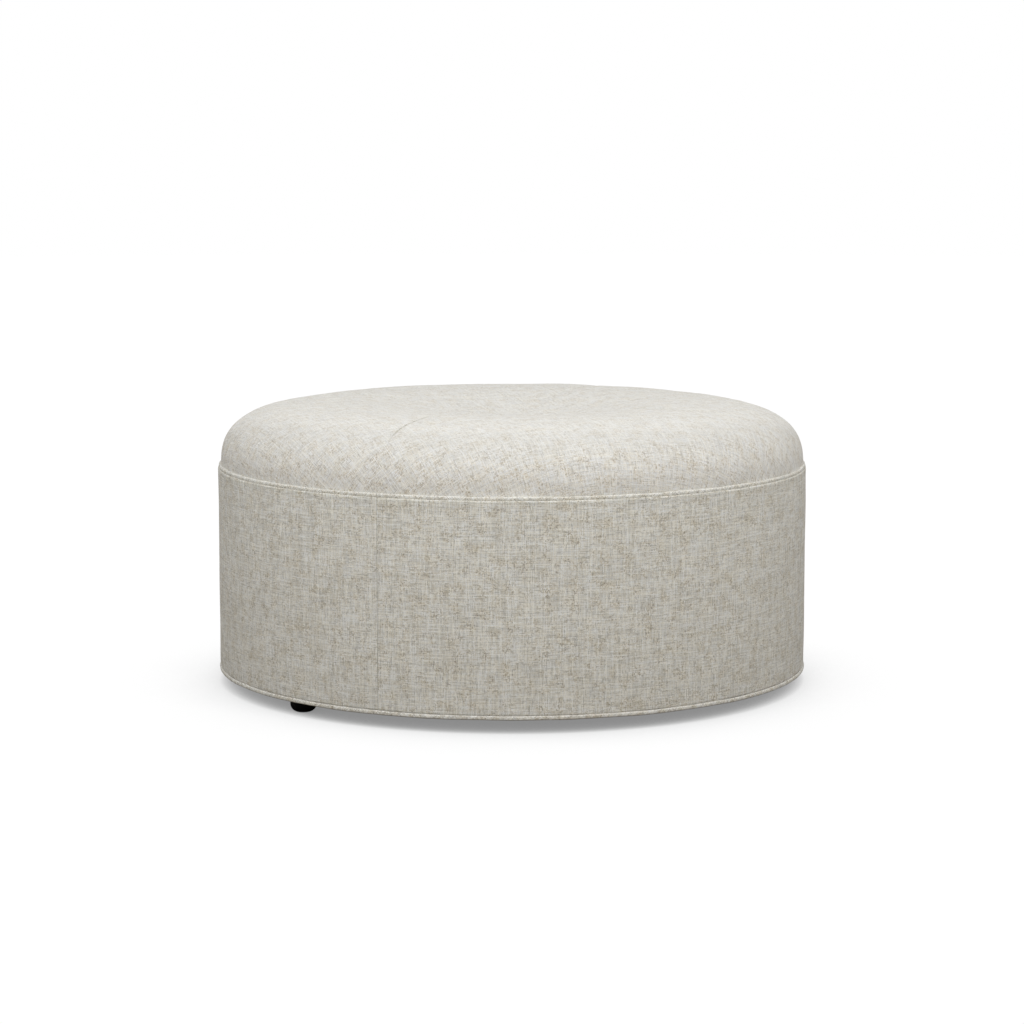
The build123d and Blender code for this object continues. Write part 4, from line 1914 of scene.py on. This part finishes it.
@dataclass
class Studio:
    """Pale floor, soft light from above and in front, and the photograph's camera."""

    camera_place: tuple[float, float, float] = (-1.5611, -4.2892, 0.8739)
    camera_tilt: float = 7.688
    camera_turn: float = -19.999
    lens: float = 103.35
    sensor: float = 36.0
    floor_radius: float = 14.0
    floor_sides: int = 96
    floor_colour: Colour = (0.29, 0.265, 0.235)
    floor_mottles: float = 40.0
    floor_mottle_dark: float = 0.98
    shade_reach: float = 1.5
    shade_samples: int = 12
    floor_stops: tuple[tuple[float, float], ...] = (
        (0.0, 0.25), (0.05, 0.266), (0.12, 0.356), (0.237, 0.51), (0.485, 0.75), (0.56, 0.86),
        (0.593, 0.90), (0.62, 0.94), (0.66, 0.97), (0.70, 0.988), (0.74, 1.0), (1.0, 1.02),
    )
    sky: float = 0.415
    sky_overhead: float = 0.490
    lamp_aim: tuple[float, float, float] = (0.0, 0.0, 0.25)
    lamps: tuple[tuple[str, tuple[float, float, float], float, float], ...] = (
        ("key", (-0.569, -2.125, 2.5), 25.6, 1.6),
        ("left_fill", (-1.224, -0.571, 1.5), 4.1, 1.0),
        ("right_fill", (0.774, -1.106, 1.5), 4.05, 1.0),
    )

    def build(self) -> None:
        """Sets the floor, the world, the lamps, the camera and the view."""
        self._floor()
        self._world()
        for lamp in self.lamps:
            self._lamp(*lamp)
        data = bpy.data.cameras.new("camera")
        data.lens = self.lens
        data.sensor_width = self.sensor
        camera = bpy.data.objects.new("camera", data)
        camera.location = self.camera_place
        camera.rotation_euler = (
            math.radians(RIGHT_ANGLE - self.camera_tilt), 0.0, math.radians(self.camera_turn)
        )
        bpy.context.scene.collection.objects.link(camera)
        bpy.context.scene.camera = camera
        bpy.context.scene.view_settings.view_transform = "Standard"

    def _floor(self) -> None:
        """Round floor that the camera sees as white, darker where the object stands over it."""
        board = material_board("pale_floor")
        mottles = board.noise(board.place(), self.floor_mottles, 2.0)
        low = tuple(channel * self.floor_mottle_dark for channel in self.floor_colour)
        colour = board.blend(mottles, low, self.floor_colour)
        plain = board.add("ShaderNodeBsdfDiffuse", None, {"Color": colour})
        shade = board.add(
            "ShaderNodeAmbientOcclusion",
            {"samples": self.shade_samples},
            {"Distance": self.shade_reach},
        )
        stops = [(place, (level, level, level)) for place, level in self.floor_stops]
        level = board.add("ShaderNodeValToRGB", {"stops": stops}, {0: shade.outputs["AO"]})
        shown = board.add("ShaderNodeEmission", None, {"Color": level.outputs[0]})
        seen = board.add("ShaderNodeLightPath").outputs["Is Camera Ray"]
        surface = board.add(
            "ShaderNodeMixShader", None, {0: seen, 1: plain.outputs[0], 2: shown.outputs[0]}
        )
        board.add("ShaderNodeOutputMaterial", None, {"Surface": surface.outputs[0]})
        turn = round_steps(self.floor_sides)
        ring = np.stack([np.cos(turn), np.sin(turn), turn * 0.0], 1) * self.floor_radius
        points = np.vstack([ring, [[0.0, 0.0, 0.0]]])
        sides = self.floor_sides
        faces = [[sides, m, (m + 1) % sides] for m in range(sides)]
        floor = mesh_object("floor", points, faces, points[:, :2], faces, board.owner)

    def _world(self) -> None:
        """Soft sky, brighter overhead, and white where the camera or a reflection sees it."""
        world = bpy.data.worlds.new("sky")
        board = NodeBoard(world)
        path = board.add("ShaderNodeLightPath")
        camera, glossy, through = (
            board.wire(path, f"Is {ray} Ray") for ray in ("Camera", "Glossy", "Transmission")
        )
        direction = board.wire(board.add("ShaderNodeTexCoord"), "Generated")
        level = board.split(direction)[2].most(0.0) * self.sky_overhead + self.sky
        soft = board.add("ShaderNodeBackground", None, {"Color": WHITE, "Strength": level})
        white = board.add("ShaderNodeBackground", None, {"Color": WHITE})
        seen = camera.most(glossy).most(through)
        mixed = board.add(
            "ShaderNodeMixShader", None, {0: seen, 1: soft.outputs[0], 2: white.outputs[0]}
        )
        board.add("ShaderNodeOutputWorld", None, {"Surface": mixed.outputs[0]})
        bpy.context.scene.world = world

    def _lamp(
        self, name: str, place: tuple[float, float, float], power: float, size: float
    ) -> None:
        """Adds a square soft lamp that faces the middle of the object.

        Args:
            name: name of the lamp.
            place: where it hangs, in metres.
            power: its power, in watts.
            size: length of its sides, in metres.
        """
        data = bpy.data.lights.new(name, "AREA")
        data.energy = power
        data.size = size
        lamp = bpy.data.objects.new(name, data)
        lamp.location = place
        aim = lamp.location - Vector(self.lamp_aim)
        lamp.rotation_euler = aim.to_track_quat("Z", "Y").to_euler()
        bpy.context.scene.collection.objects.link(lamp)


# Assembly


def middle(name: str) -> tuple[float, ...]:
    """Middle of a node's box, in metres."""
    return tuple((low + high) / 2.0 for low, high in zip(*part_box(name)))


def main() -> None:
    """Builds the object and its studio."""
    logging.basicConfig(level=logging.INFO, format="%(name)s: %(message)s")
    finishes = {finish: finish.value.material() for finish in Finish}
    Carcass(frame["nodes"]).dress(finishes)

    upper_height, lower_height = middle("upper_welt")[2], middle("lower_welt")[2]
    upper_outside, lower_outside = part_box("upper_welt")[1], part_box("lower_welt")[1]
    upper = Piping(Edge.UPPER, upper_outside.x - Piping.radius, upper_height, upper_height)
    lower = Piping(
        Edge.LOWER,
        lower_outside.x - Piping.radius,
        lower_height,
        lower_outside.z - Piping.flange_half,
    )
    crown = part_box("cushion_cover")[1]
    report(Cushion(crown.x, crown.z, upper.height).build(finishes[Finish.SEAT_LINEN]))
    drum_low, drum_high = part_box("drum_cover_front")
    for side in Side:
        panel = DrumPanel(side, -drum_low.y, drum_low.z, drum_high.z)
        report(panel.build(finishes[Finish.LINEN]))
    report(upper.build(finishes[Finish.UPPER_LINEN]))
    report(lower.build(finishes[Finish.LOWER_LINEN]))

    feet = [
        middle(f"foot_{row}_{side}")[:2] for row in ("front", "back") for side in ("left", "right")
    ]
    dust_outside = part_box("dust_cover")[1]
    dust_cover = DustCover(dust_outside.x, dust_outside.z)
    report(dust_cover.build(finishes[Finish.DUST_CLOTH], feet))
    row = StitchRow(
        "lower_piping_stitches",
        lower.ring_radius - lower.stitch_inset,
        lower.flange_middle - lower.flange_half,
    )
    report(row.build(finishes[Finish.THREAD]))
    Studio().build()


if __name__ == "__main__":
    main()
